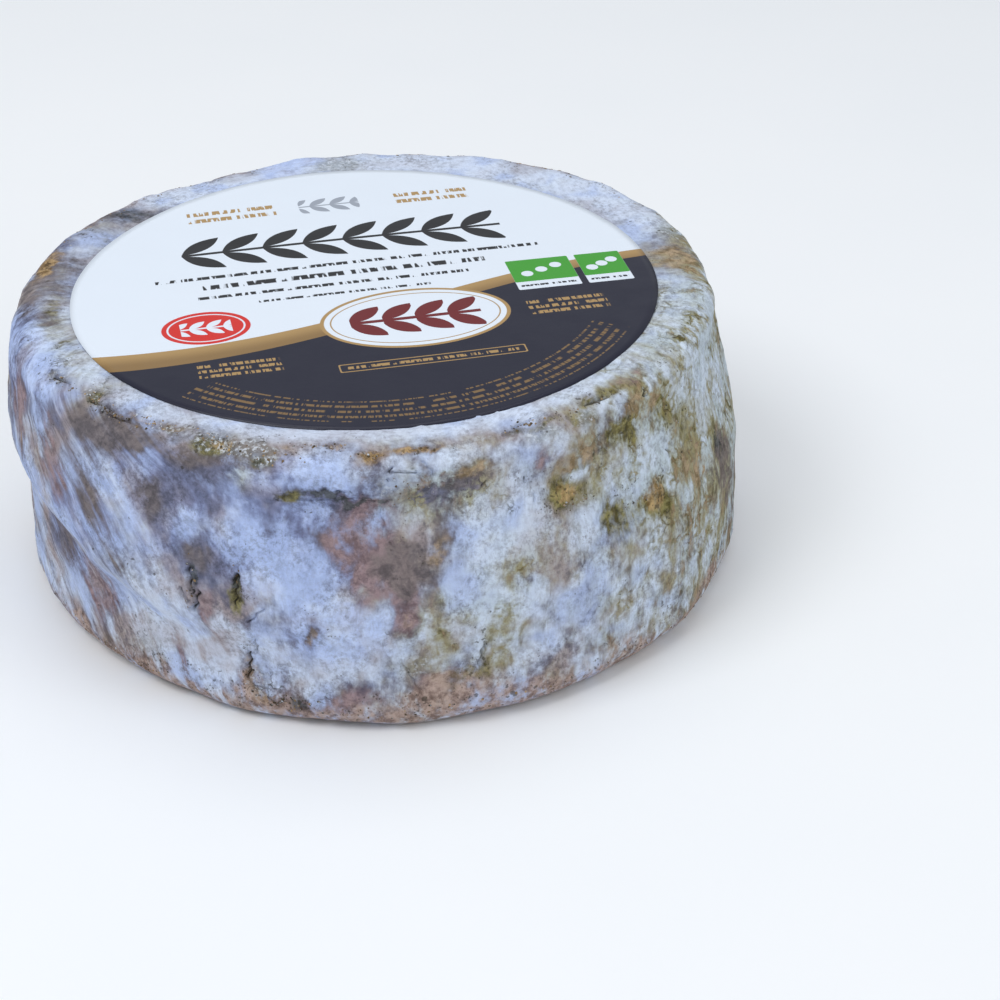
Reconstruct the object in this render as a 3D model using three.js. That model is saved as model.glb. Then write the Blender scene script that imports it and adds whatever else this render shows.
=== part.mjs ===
// Aged goat cheese: one whole wheel with a natural mould rind and a round paper label on its top face.
// Millimetres, +Z up. The origin is the middle of the flat underside, and the front of the wheel is at -Y.
// Directions round the wheel are degrees about +Z, counted from +X, so the front is at 270.
import * as THREE from 'three';
import { mergeVertices } from 'three/addons/utils/BufferGeometryUtils.js';

// Wheel
const WHEEL_RADIUS = 103;
const WHEEL_HEIGHT = 78.5;
const SHOULDER_CORNER = 14.3;
const FOOT_CORNER = 7.7;

// How the wheel settled and leaned while it ripened
const SIDE_TAPER = 3.2;
const SIDE_SLOPE = { depth: 2.5, toward: -4, focus: 1.7 };
const LEAN = { reach: 3.9, toward: 126 };
const FOOT_SHIFT = { reach: 1.0, toward: 172, upTo: 0.5 };
const OVAL = { reach: 1.3, toward: 42 };

// Between which shares of the height the side draws in, where it is fully in, and where it is out again
const DRAWN_IN = { from: 0.42, full: 0.86, end: 1.02 };

// The waist: below a fold on the left the side steps in, and the fold sinks as it comes to the front
const WAIST = {
  depth: 6.7,
  toward: 222,
  spread: 48,
  highLevel: 0.54,
  lowLevel: 0.34,
  sinksFrom: 198,
  sinksTo: 250,
  softness: 0.035,
};

// Where the foot spreads on its shelf: direction, half size along the foot, and how far it bulges out
const FOOT_BULGES = [
  { toward: 207, halfWidth: 18, reach: 1.1 },
  { toward: 250, halfWidth: 12, reach: 1.5 },
  { toward: 276, halfWidth: 13, reach: 1.8 },
];
const FOOT_BULGES_UP_TO = 0.25;

// Relief of the rind: broad hollows, smaller lumps, and the crumbly crest where the top meets the side
const HOLLOWS = { height: 0.55, length: 44, seed: 2.9 };
const LUMPS = { height: 0.28, length: 15, seed: 4.1 };
const CREST = { height: 0.3, length: 13, seed: 2.2, radius: 91, halfWidth: 4.5, belowTop: 1 };
const TOP_SWELL = { height: 0.3, length: 110, seed: 0.6, fromShare: 0.9 };

// The relief is nought at the floor and round the label, and reaches its full height this far off
const FOOT_CALM = 5;
const LABEL_CALM = { from: 1, to: 9 };

// Marks on the side: direction, level over the floor, half sizes along and up the side, depth inwards
const SIDE_MARKS = [
  { toward: 268, level: 64, halfWidth: 30, halfHeight: 3.6, depth: 1.7 },
  { toward: 271, level: 71.5, halfWidth: 34, halfHeight: 4.2, depth: -1.0 },
  { toward: 303, level: 63, halfWidth: 13, halfHeight: 6, depth: 1.1 },
  { toward: 274, level: 48, halfWidth: 11, halfHeight: 10, depth: 0.9 },
  { toward: 250, level: 40, halfWidth: 4.5, halfHeight: 6.5, depth: 1.3 },
  { toward: 240, level: 68, halfWidth: 15, halfHeight: 7, depth: 0.9 },
  { toward: 226, level: 20, halfWidth: 12, halfHeight: 9, depth: 0.8 },
  { toward: 334, level: 36, halfWidth: 7, halfHeight: 22, depth: 0.9 },
  { toward: 20, level: 40, halfWidth: 26, halfHeight: 8, depth: 1.3 },
  { toward: 6, level: 73, halfWidth: 20, halfHeight: 7, depth: 0.9 },
  { toward: 47, level: 74, halfWidth: 30, halfHeight: 12, depth: -1.1 },
  { toward: 70, level: 50, halfWidth: 20, halfHeight: 5, depth: 1.2 },
  { toward: 96, level: 26, halfWidth: 24, halfHeight: 10, depth: 1.1 },
  { toward: 124, level: 76, halfWidth: 36, halfHeight: 12, depth: 1.3 },
  { toward: 145, level: 48, halfWidth: 22, halfHeight: 6, depth: 1.2 },
  { toward: 155, level: 75, halfWidth: 20, halfHeight: 12, depth: -1.7 },
  { toward: 184, level: 68, halfWidth: 14, halfHeight: 10, depth: 0.7 },
];

// Paper label
const LABEL_RADIUS = 81.1;
const LABEL_CENTRE = { x: -2.6, y: 0.3 };
const LABEL_THICKNESS = 0.3;
const LABEL_GAP = 0.3;

// Fineness of the surfaces
const WHEEL_SEGMENTS = 160;
const FOOT_ROWS = 5;
const SIDE_ROWS = 14;
const SHOULDER_ROWS = 9;
const UNDERSIDE_RINGS = 2;
const TOP_RINGS = [85.2, 81, 60, 40, 20];
const LABEL_SEGMENTS = 96;
const LABEL_RINGS = 4;
const WAVE_COUNT = 7;
const WAVE_STEEPEST = 0.9;
const WAVE_LENGTHS = { least: 0.75, spread: 0.5 };
const GOLDEN_TURN = Math.PI * (3 - Math.sqrt(5));
const GOLDEN_SHARE = 0.618;

const rindMaterial = new THREE.MeshStandardMaterial({ color: 0xa3adbf, roughness: 0.95, metalness: 0 });
const labelMaterial = new THREE.MeshStandardMaterial({ color: 0xe6ebf2, roughness: 0.45, metalness: 0 });

// How far one direction lies round from another, in degrees from -180 to 180
function turnBetween(degrees, other) {
  return THREE.MathUtils.euclideanModulo(degrees - other + 180, 360) - 180;
}

// A bell curve that is 1 at nought and falls to a third at one half size
function bell(distance, halfSize) {
  return Math.exp(-((distance / halfSize) ** 2));
}

// From 1 on the side that faces a direction to -1 on the side that faces away from it
function facing(azimuth, toward, times = 1) {
  return Math.cos(times * THREE.MathUtils.degToRad(azimuth - toward));
}

// Uneven ground between about -1 and 1: a sum of waves whose directions spread by the golden angle
function unevenness(point, wave) {
  let sum = 0;
  for (let index = 0; index < WAVE_COUNT; index += 1) {
    const turn = wave.seed + index * GOLDEN_TURN;
    const climb = WAVE_STEEPEST * (2 * ((index + 0.5) / WAVE_COUNT) - 1);
    const level = Math.sqrt(1 - climb * climb);
    const along = point.x * Math.cos(turn) * level + point.y * Math.sin(turn) * level + point.z * climb;
    const varied = (index * GOLDEN_SHARE) % 1;
    const length = wave.length * (WAVE_LENGTHS.least + WAVE_LENGTHS.spread * varied);
    sum += Math.sin((2 * Math.PI * along) / length + wave.seed * (index + 1));
  }
  return sum / Math.sqrt(2 * WAVE_COUNT);
}

// The level of the waist fold, as a share of the height, in one direction
function waistLevel(azimuth) {
  const sunk = THREE.MathUtils.smoothstep(azimuth, WAIST.sinksFrom, WAIST.sinksTo);
  return THREE.MathUtils.lerp(WAIST.highLevel, WAIST.lowLevel, sunk);
}

// How far the foot bulges out in one direction
function footBulge(azimuth) {
  let bulge = 0;
  for (const { toward, halfWidth, reach } of FOOT_BULGES) {
    const along = THREE.MathUtils.degToRad(turnBetween(azimuth, toward)) * WHEEL_RADIUS;
    bulge += reach * bell(along, halfWidth);
  }
  return bulge;
}

// How far the settled side stands out from, or in from, a true round wheel
function settling(azimuth, share) {
  const { smoothstep } = THREE.MathUtils;
  const drawnIn = smoothstep(share, DRAWN_IN.from, DRAWN_IN.full);
  const outAgain = smoothstep(share, DRAWN_IN.full, DRAWN_IN.end);
  const slope = SIDE_SLOPE.depth * ((1 + facing(azimuth, SIDE_SLOPE.toward)) / 2) ** SIDE_SLOPE.focus;
  const belowFold = 1 / (1 + Math.exp((share - waistLevel(azimuth)) / WAIST.softness));
  const waist = WAIST.depth * bell(turnBetween(azimuth, WAIST.toward), WAIST.spread) * belowFold;
  const lean = LEAN.reach * facing(azimuth, LEAN.toward) * smoothstep(share, 0, 1);
  const low = 1 - smoothstep(share, 0, FOOT_SHIFT.upTo);
  const foot = FOOT_SHIFT.reach * facing(azimuth, FOOT_SHIFT.toward) * low;
  const bulge = footBulge(azimuth) * (1 - smoothstep(share, 0, FOOT_BULGES_UP_TO));
  const oval = OVAL.reach * facing(azimuth, OVAL.toward, 2);
  return lean + foot + bulge + oval - waist - (slope + SIDE_TAPER) * drawnIn * (1 - outAgain);
}

// How far the top face swells over its true plane
function topSwell(x, y) {
  return TOP_SWELL.height * unevenness({ x, y, z: 0 }, TOP_SWELL);
}

// How far the marks on the side press in at one place
function markDepth(azimuth, level) {
  let depth = 0;
  for (const mark of SIDE_MARKS) {
    const along = THREE.MathUtils.degToRad(turnBetween(azimuth, mark.toward)) * WHEEL_RADIUS;
    depth += mark.depth * bell(along, mark.halfWidth) * bell(level - mark.level, mark.halfHeight);
  }
  return depth;
}

// Height of the rind's relief over the settled wheel: calm at the foot and under the label
function rindRelief(point, radius, azimuth) {
  const { smoothstep } = THREE.MathUtils;
  const outside = smoothstep(radius, LABEL_RADIUS + LABEL_CALM.from, LABEL_RADIUS + LABEL_CALM.to);
  const offFloor = smoothstep(point.z, 0, FOOT_CALM);
  const ground = HOLLOWS.height * unevenness(point, HOLLOWS) + LUMPS.height * unevenness(point, LUMPS);
  const high = smoothstep(point.z, WHEEL_HEIGHT - SHOULDER_CORNER, WHEEL_HEIGHT - CREST.belowTop);
  const band = bell(radius - CREST.radius, CREST.halfWidth);
  const crest = CREST.height * unevenness(point, CREST) * band * high;
  return ((ground - markDepth(azimuth, point.z)) * outside + crest) * offFloor;
}

// The closed outline of a round wheel from the middle of its underside to the middle of its top
function wheelProfile() {
  const points = [];
  const footCentre = WHEEL_RADIUS - FOOT_CORNER;
  const shoulderCentre = WHEEL_RADIUS - SHOULDER_CORNER;
  const shoulderStart = WHEEL_HEIGHT - SHOULDER_CORNER;
  const quarterTurn = Math.PI / 2;
  for (let ring = 0; ring < UNDERSIDE_RINGS; ring += 1) {
    points.push(new THREE.Vector2((footCentre * ring) / UNDERSIDE_RINGS, 0));
  }
  for (let row = 0; row <= FOOT_ROWS; row += 1) {
    const angle = quarterTurn * (row / FOOT_ROWS - 1);
    const radius = footCentre + FOOT_CORNER * Math.cos(angle);
    points.push(new THREE.Vector2(radius, FOOT_CORNER * (1 + Math.sin(angle))));
  }
  for (let row = 1; row < SIDE_ROWS; row += 1) {
    const level = THREE.MathUtils.lerp(FOOT_CORNER, shoulderStart, row / SIDE_ROWS);
    points.push(new THREE.Vector2(WHEEL_RADIUS, level));
  }
  for (let row = 0; row <= SHOULDER_ROWS; row += 1) {
    const angle = quarterTurn * (row / SHOULDER_ROWS);
    const radius = shoulderCentre + SHOULDER_CORNER * Math.cos(angle);
    points.push(new THREE.Vector2(radius, shoulderStart + SHOULDER_CORNER * Math.sin(angle)));
  }
  for (const radius of [...TOP_RINGS, 0]) {
    points.push(new THREE.Vector2(radius, WHEEL_HEIGHT));
  }
  return points;
}

// A turned solid about +Z whose shared corners are one point, without the flat triangles at its axis
function turnedSolid(profile, segments) {
  const lathe = new THREE.LatheGeometry(profile, segments);
  lathe.rotateX(Math.PI / 2);
  lathe.deleteAttribute('normal');
  lathe.deleteAttribute('uv');
  const merged = mergeVertices(lathe, 1e-3);
  const corners = merged.index.array;
  const kept = [];
  for (let start = 0; start < corners.length; start += 3) {
    const [a, b, c] = corners.slice(start, start + 3);
    if (a !== b && b !== c && c !== a) {
      kept.push(a, b, c);
    }
  }
  merged.setIndex(kept);
  merged.computeVertexNormals();
  return merged;
}

// Moves every point of a geometry to where a function sends it
function reshape(geometry, move) {
  const position = geometry.attributes.position;
  const normals = geometry.attributes.normal.clone();
  for (let index = 0; index < position.count; index += 1) {
    const point = new THREE.Vector3().fromBufferAttribute(position, index);
    const outward = new THREE.Vector3().fromBufferAttribute(normals, index);
    const moved = move(point, outward);
    position.setXYZ(index, moved.x, moved.y, moved.z);
  }
  geometry.computeVertexNormals();
  return geometry;
}

// Paste and rind in one solid: the uncut wheel
function cheeseWheel() {
  const round = turnedSolid(wheelProfile(), WHEEL_SEGMENTS);
  const shaped = reshape(round, (point, outward) => {
    const radius = Math.hypot(point.x, point.y);
    const angle = Math.atan2(point.y, point.x);
    const azimuth = THREE.MathUtils.euclideanModulo(THREE.MathUtils.radToDeg(angle), 360);
    const share = point.z / WHEEL_HEIGHT;
    const held = THREE.MathUtils.smoothstep(radius, 0, WHEEL_RADIUS - SHOULDER_CORNER);
    const settled = radius + settling(azimuth, share) * held;
    const high = THREE.MathUtils.smoothstep(share, TOP_SWELL.fromShare, 1);
    const swell = topSwell(point.x, point.y) * high;
    const relief = rindRelief(point, radius, azimuth);
    return new THREE.Vector3(
      settled * Math.cos(angle) + outward.x * relief,
      settled * Math.sin(angle) + outward.y * relief,
      point.z + swell + outward.z * relief,
    );
  });
  const wheel = new THREE.Mesh(shaped, rindMaterial);
  wheel.name = 'cheese_wheel';
  return wheel;
}

// The round paper label: a thin disc that follows the swell of the top face
function paperLabel() {
  const profile = [];
  for (let ring = 0; ring <= LABEL_RINGS; ring += 1) {
    profile.push(new THREE.Vector2((LABEL_RADIUS * ring) / LABEL_RINGS, 0));
  }
  for (let ring = LABEL_RINGS; ring >= 0; ring -= 1) {
    profile.push(new THREE.Vector2((LABEL_RADIUS * ring) / LABEL_RINGS, LABEL_THICKNESS));
  }
  const flat = turnedSolid(profile, LABEL_SEGMENTS);
  flat.translate(LABEL_CENTRE.x, LABEL_CENTRE.y, WHEEL_HEIGHT + LABEL_GAP);
  const laid = reshape(flat, (point) => {
    return new THREE.Vector3(point.x, point.y, point.z + topSwell(point.x, point.y));
  });
  const label = new THREE.Mesh(laid, labelMaterial);
  label.name = 'paper_label';
  return label;
}

const cheese = new THREE.Group();
cheese.add(cheeseWheel(), paperLabel());

export default cheese;
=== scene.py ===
"""Aged goat cheese: one uncut wheel with a mottled mould rind and a round printed paper label.

Lengths in the classes are millimetres in the wheel's own frame, +Z up and the front towards -Y, and
every mesh is brought to metres when it is finished. Directions round the wheel are degrees about +Z,
counted from +X, so the front is at 270. The climb of a place on the rind is its way up the side and
then inwards over the shoulder: its height plus how far it lies in from the wheel's true radius.
"""

import logging
import math
import random
from dataclasses import dataclass
from enum import Enum
from typing import NamedTuple

import bmesh
import bpy
import numpy as np
from mathutils import Matrix, Vector, noise


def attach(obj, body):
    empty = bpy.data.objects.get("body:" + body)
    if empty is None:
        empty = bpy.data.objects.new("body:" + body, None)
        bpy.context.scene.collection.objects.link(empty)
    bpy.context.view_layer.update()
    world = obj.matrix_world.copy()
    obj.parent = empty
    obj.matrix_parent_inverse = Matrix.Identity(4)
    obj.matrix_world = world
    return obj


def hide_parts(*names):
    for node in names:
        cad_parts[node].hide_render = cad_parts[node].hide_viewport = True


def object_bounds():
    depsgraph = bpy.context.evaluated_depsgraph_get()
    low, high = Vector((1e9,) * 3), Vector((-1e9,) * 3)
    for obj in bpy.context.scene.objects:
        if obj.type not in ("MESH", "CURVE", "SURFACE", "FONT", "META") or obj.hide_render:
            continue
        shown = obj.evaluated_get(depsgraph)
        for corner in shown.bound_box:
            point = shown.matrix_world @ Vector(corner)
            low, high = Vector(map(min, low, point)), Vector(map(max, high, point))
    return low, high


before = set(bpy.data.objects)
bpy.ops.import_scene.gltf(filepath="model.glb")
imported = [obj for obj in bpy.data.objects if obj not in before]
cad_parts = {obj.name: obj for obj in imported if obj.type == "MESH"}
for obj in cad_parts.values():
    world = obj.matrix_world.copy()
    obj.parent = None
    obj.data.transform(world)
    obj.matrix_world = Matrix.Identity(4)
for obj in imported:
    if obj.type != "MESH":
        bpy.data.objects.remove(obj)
cad_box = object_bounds()

log = logging.getLogger("cheese")

MM = 0.001
BODY = "root"
GOLDEN_TURN = math.pi * (3 - math.sqrt(5))
GOLDEN_SHARE = 0.618
SINE_45 = 0.7071
LABEL_CENTRE = (-2.6, 0.3)

Feed = bpy.types.NodeSocket | float | tuple
Socket = bpy.types.NodeSocket


def linear(red: float, green: float, blue: float) -> tuple[float, float, float, float]:
    """Turns a colour as seen on a screen, from 0 to 255, into the linear one that a shader takes.

    Args:
        red: Red as seen.
        green: Green as seen.
        blue: Blue as seen.

    Returns:
        The linear colour with full alpha.
    """

    def channel(value: float) -> float:
        """Undoes the screen's curve for one channel."""
        share = value / 255
        return share / 12.92 if share <= 0.04045 else ((share + 0.055) / 1.055) ** 2.4

    return (channel(red), channel(green), channel(blue), 1.0)


def smoothstep(value: np.ndarray, low: float, high: float) -> np.ndarray:
    """Rises softly from 0 at low to 1 at high."""
    share = np.clip((value - low) / (high - low), 0, 1)
    return share * share * (3 - 2 * share)


def bell(distance: np.ndarray, half_size: float) -> np.ndarray:
    """Is 1 at nought and falls to a third at one half size."""
    return np.exp(-((distance / half_size) ** 2))


def turn_between(degrees: np.ndarray, other: float) -> np.ndarray:
    """Says how far one direction lies round from another, from -180 to 180 degrees."""
    return (degrees - other + 180) % 360 - 180


def facing(azimuth: np.ndarray, toward: float, times: int = 1) -> np.ndarray:
    """Is 1 on the side that faces a direction and -1 on the side that faces away."""
    return np.cos(times * np.radians(azimuth - toward))


class Span(NamedTuple):
    """A stretch from a low value to a high one."""

    low: float
    high: float


@dataclass(frozen=True)
class Grain:
    """Fractal relief: its height, the length of its coarsest lumps, its octaves and where it starts."""

    height: float
    size: float
    octaves: int
    shift: float

    def at(self, points: np.ndarray) -> np.ndarray:
        """Returns the height of the relief at each point, in millimetres."""
        scaled = points / self.size + self.shift
        return self.height * np.array(
            [noise.fractal(Vector(place), 1.0, 2.0, self.octaves) for place in scaled]
        )


@dataclass(frozen=True)
class Waves:
    """Uneven ground: a sum of long waves whose directions spread by the golden angle."""

    height: float
    length: float
    seed: float
    count: int = 7
    steepest: float = 0.9
    shortest: float = 0.75
    spread: float = 0.5

    def at(self, points: np.ndarray) -> np.ndarray:
        """Returns the height of the ground at each point."""
        total = np.zeros(len(points))
        for index in range(self.count):
            turn = self.seed + index * GOLDEN_TURN
            climb = 2 * self.steepest * ((index + 0.5) / self.count) - self.steepest
            level = math.sqrt(1 - climb * climb)
            way = np.array((math.cos(turn) * level, math.sin(turn) * level, climb))
            length = self.length * (self.shortest + self.spread * ((index * GOLDEN_SHARE) % 1))
            total += np.sin(2 * math.pi * (points @ way) / length + self.seed * (index + 1))
        return self.height * total / math.sqrt(2 * self.count)


@dataclass(frozen=True)
class Mark:
    """A broad dent in the side, or a bulge where its depth is below nought."""

    toward: float
    level: float
    half_width: float
    half_height: float
    depth: float


@dataclass(frozen=True)
class FootBulge:
    """A stretch of the foot that has spread on the shelf."""

    toward: float
    half_width: float
    reach: float


@dataclass(frozen=True)
class Tear:
    """A crack or torn pit in the rind: a narrow groove with raised lips."""

    toward: float
    climb: float
    length: float
    tilt: float
    half_width: float
    depth: float
    lip: float = 0.15


@dataclass(frozen=True)
class Spot:
    """Where a point of the rind lies: direction, climb, radius and height."""

    azimuth: np.ndarray
    climb: np.ndarray
    radius: np.ndarray
    level: np.ndarray


@dataclass(frozen=True)
class SettledForm:
    """The form that the wheel took while it ripened, lying on its shelf."""

    radius: float = 103.0
    height: float = 78.5
    shoulder_corner: float = 14.3
    foot_corner: float = 7.7
    taper: float = 3.2
    slope: float = 2.5
    slope_toward: float = -4.0
    slope_focus: float = 1.7
    lean: float = 3.9
    lean_toward: float = 126.0
    foot_shift: float = 1.0
    foot_toward: float = 172.0
    foot_shift_up_to: float = 0.5
    oval: float = 1.3
    oval_toward: float = 42.0
    drawn_in_from: float = 0.42
    drawn_in_full: float = 0.86
    drawn_in_end: float = 1.02
    waist_depth: float = 6.7
    waist_toward: float = 222.0
    waist_spread: float = 48.0
    waist_high: float = 0.54
    waist_low: float = 0.34
    waist_sinks_from: float = 198.0
    waist_sinks_to: float = 250.0
    waist_softness: float = 0.035
    foot_calm: float = 5.0
    label_radius: float = 81.1
    label_calm_from: float = 1.0
    label_calm_to: float = 9.0
    swell: Waves = Waves(0.3, 110, 0.6)
    swell_from: float = 0.9
    hollows: Waves = Waves(0.55, 44, 2.9)
    lumps: Waves = Waves(0.28, 15, 4.1)
    crest: Waves = Waves(0.3, 13, 2.2)
    crest_radius: float = 91.0
    crest_half_width: float = 4.5
    crest_below_top: float = 1.0
    foot_bulges: tuple[FootBulge, ...] = (
        FootBulge(207, 18, 1.1),
        FootBulge(250, 12, 1.5),
        FootBulge(276, 13, 1.8),
    )
    foot_bulges_up_to: float = 0.25
    marks: tuple[Mark, ...] = (
        Mark(268, 64, 30, 3.6, 1.7),
        Mark(271, 71.5, 34, 4.2, -1.0),
        Mark(303, 63, 13, 6, 1.1),
        Mark(274, 48, 11, 10, 0.9),
        Mark(250, 40, 4.5, 6.5, 1.3),
        Mark(240, 68, 15, 7, 0.9),
        Mark(226, 20, 12, 9, 0.8),
        Mark(334, 36, 7, 22, 0.9),
        Mark(20, 40, 26, 8, 1.3),
        Mark(6, 73, 20, 7, 0.9),
        Mark(47, 74, 30, 12, -1.1),
        Mark(70, 50, 20, 5, 1.2),
        Mark(96, 26, 24, 10, 1.1),
        Mark(124, 76, 36, 12, 1.3),
        Mark(145, 48, 22, 6, 1.2),
        Mark(155, 75, 20, 12, -1.7),
        Mark(184, 68, 14, 10, 0.7),
    )

    def spots(self, points: np.ndarray) -> Spot:
        """Works out where the points of the round, unsettled wheel lie on its rind."""
        radius = np.hypot(points[:, 0], points[:, 1])
        azimuth = np.degrees(np.arctan2(points[:, 1], points[:, 0])) % 360
        level = points[:, 2]
        inset = self.radius - radius
        climb = level + np.where(level > self.height / 2, inset, -inset)
        return Spot(azimuth, climb, radius, level)

    def round_spots(self, azimuth: np.ndarray, climb: np.ndarray) -> tuple[np.ndarray, np.ndarray]:
        """Finds spots of the round, unsettled wheel by their direction and climb.

        Args:
            azimuth: Directions, in degrees.
            climb: Ways up the side and inwards over the shoulder.

        Returns:
            The points, and the wheel's normal at each of them.
        """
        above = climb > self.foot_corner
        over = (climb - self.height) / (self.shoulder_corner * math.sqrt(2))
        under = climb / (self.foot_corner * math.sqrt(2))
        turned = np.arcsin(np.clip(np.where(above, over, under), -SINE_45, SINE_45))
        lean = turned + np.where(above, math.pi / 4, -math.pi / 4)
        corner = np.where(above, self.shoulder_corner, self.foot_corner)
        flat = np.maximum(climb - self.height - self.shoulder_corner, 0)
        radius = self.radius - corner * (1 - np.cos(lean)) - flat
        inset = self.radius - radius
        level = np.where(above, climb - inset, climb + inset)
        angle = np.radians(azimuth)
        way = np.stack([np.cos(angle), np.sin(angle), np.ones(len(angle))])
        points = (way * (radius, radius, level)).T
        outward = (way * (np.cos(lean), np.cos(lean), np.sin(lean))).T
        return points, outward

    def settling(self, spot: Spot) -> np.ndarray:
        """Returns how far the settled side stands out from a true round wheel."""
        share = spot.level / self.height
        azimuth = spot.azimuth
        upper = smoothstep(share, self.drawn_in_from, self.drawn_in_full)
        upper = upper * (1 - smoothstep(share, self.drawn_in_full, self.drawn_in_end))
        slope = self.slope * ((1 + facing(azimuth, self.slope_toward)) / 2) ** self.slope_focus
        sunk = smoothstep(azimuth, self.waist_sinks_from, self.waist_sinks_to)
        fold = self.waist_high + (self.waist_low - self.waist_high) * sunk
        below = 1 / (1 + np.exp((share - fold) / self.waist_softness))
        waist = self.waist_depth * bell(turn_between(azimuth, self.waist_toward), self.waist_spread)
        lean = self.lean * facing(azimuth, self.lean_toward) * smoothstep(share, 0, 1)
        spread = 1 - smoothstep(share, 0, self.foot_shift_up_to)
        foot = self.foot_shift * facing(azimuth, self.foot_toward) * spread
        low = 1 - smoothstep(share, 0, self.foot_bulges_up_to)
        for bulge in self.foot_bulges:
            along = np.radians(turn_between(azimuth, bulge.toward)) * self.radius
            foot = foot + bulge.reach * bell(along, bulge.half_width) * low
        oval = self.oval * facing(azimuth, self.oval_toward, 2)
        return lean + foot + oval - waist * below - (slope + self.taper) * upper

    def swelling(self, points: np.ndarray) -> np.ndarray:
        """Returns how far the top face swells over its true plane."""
        flat = points.copy()
        flat[:, 2] = 0
        return self.swell.at(flat)

    def broad_relief(self, points: np.ndarray, spot: Spot) -> np.ndarray:
        """Returns the rind's broad relief: hollows, lumps, marks and the uneven crest."""
        ground = self.hollows.at(points) + self.lumps.at(points)
        for mark in self.marks:
            along = np.radians(turn_between(spot.azimuth, mark.toward)) * self.radius
            near = bell(along, mark.half_width) * bell(spot.level - mark.level, mark.half_height)
            ground -= mark.depth * near
        outside = smoothstep(spot.radius - self.label_radius, self.label_calm_from, self.label_calm_to)
        high = smoothstep(self.height - spot.level, self.shoulder_corner, self.crest_below_top)
        band = bell(spot.radius - self.crest_radius, self.crest_half_width)
        crest = self.crest.at(points) * band * high
        return (ground * outside + crest) * smoothstep(spot.level, 0, self.foot_calm)

    def settle(self, points: np.ndarray, outward: np.ndarray, relief: np.ndarray) -> np.ndarray:
        """Moves the points of the round wheel to where they lie once it has settled.

        Args:
            points: Points of the round wheel.
            outward: The round wheel's normal at each point.
            relief: Height of the rind over the settled surface, along the normal.

        Returns:
            The settled points.
        """
        spot = self.spots(points)
        held = smoothstep(spot.radius, 0, self.radius - self.shoulder_corner)
        reach = spot.radius + self.settling(spot) * held
        angle = np.radians(spot.azimuth)
        moved = np.stack([reach * np.cos(angle), reach * np.sin(angle), spot.level], axis=1)
        moved[:, 2] += self.swelling(points) * smoothstep(spot.level / self.height, self.swell_from, 1)
        return moved + outward * relief[:, None]


class ProfilePen:
    """Draws an outline point by point in the XZ plane and turns it round +Z into a solid."""

    def __init__(self, start: tuple[float, float]) -> None:
        """Puts the pen down at a radius and a height."""
        self.mesh = bmesh.new()
        self.tip = self.mesh.verts.new((start[0], 0.0, start[1]))

    def line(self, end: tuple[float, float], steps: int) -> None:
        """Draws a straight stretch to a radius and a height, in even steps."""
        stride = (Vector((end[0], 0.0, end[1])) - self.tip.co) / steps
        self._sweep((0, 0, 0), stride, 0.0, steps)

    def arc(self, centre: tuple[float, float], degrees: float, steps: int) -> None:
        """Draws an arc about a centre, anticlockwise with +X to the right and +Z up."""
        self._sweep((centre[0], 0.0, centre[1]), (0, 0, 0), math.radians(degrees), steps)

    def _sweep(self, centre: tuple, stride: Vector | tuple, angle: float, steps: int) -> None:
        """Carries the tip on by a stride and a turn at each step, leaving edges behind it."""
        swept = bmesh.ops.spin(
            self.mesh,
            geom=[self.tip],
            cent=centre,
            axis=(0, -1, 0),
            dvec=stride,
            angle=angle,
            steps=steps,
            use_merge=False,
        )
        self.tip = next(item for item in swept["geom_last"] if isinstance(item, bmesh.types.BMVert))

    def turn(self, wedges: int, wedge_steps: int) -> bmesh.types.BMesh:
        """Turns the outline round +Z, first into one wedge and then into a ring of equal wedges.

        Args:
            wedges: How many wedges make the full turn.
            wedge_steps: How many segments one wedge has.

        Returns:
            The closed mesh, its seams and poles merged and its faces pointing out.
        """
        mesh = self.mesh
        around = {"cent": (0, 0, 0), "axis": (0, 0, 1)}
        wedge = math.tau / wedges
        outline = mesh.verts[:] + mesh.edges[:]
        bmesh.ops.spin(mesh, geom=outline, angle=wedge, steps=wedge_steps, **around)
        first = mesh.verts[:] + mesh.edges[:] + mesh.faces[:]
        rest = wedges - 1
        bmesh.ops.spin(mesh, geom=first, angle=wedge * rest, steps=rest, use_duplicate=True, **around)
        bmesh.ops.remove_doubles(mesh, verts=mesh.verts[:], dist=1e-4)
        bmesh.ops.recalc_face_normals(mesh, faces=mesh.faces[:])
        return mesh


def read_points(mesh: bmesh.types.BMesh) -> tuple[np.ndarray, np.ndarray]:
    """Returns the places and normals of a mesh's vertices."""
    mesh.normal_update()
    places = np.array([vertex.co[:] for vertex in mesh.verts])
    normals = np.array([vertex.normal[:] for vertex in mesh.verts])
    return places, normals


def write_points(mesh: bmesh.types.BMesh, places: np.ndarray) -> None:
    """Moves a mesh's vertices to new places."""
    for vertex, place in zip(mesh.verts, places):
        vertex.co = place


def kept_in_box(places: np.ndarray) -> np.ndarray:
    """Presses places in millimetres that stand out of the solids' box back into it."""
    lowest, highest = (np.array(corner) / MM for corner in cad_box)
    return np.clip(places, lowest, highest)


def finished_piece(mesh: bmesh.types.BMesh, name: str, material: bpy.types.Material) -> bpy.types.Object:
    """Turns a mesh in millimetres into a smooth-shaded object in metres that sits at the origin.

    Args:
        mesh: The mesh, which is freed.
        name: The piece's name.
        material: The piece's finish.

    Returns:
        The object, linked to the scene.
    """
    bmesh.ops.scale(mesh, vec=(MM, MM, MM), verts=mesh.verts[:])
    data = bpy.data.meshes.new(name)
    mesh.to_mesh(data)
    mesh.free()
    data.shade_smooth()
    data.materials.append(material)
    piece = bpy.data.objects.new(name, data)
    bpy.context.scene.collection.objects.link(piece)
    return piece


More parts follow.
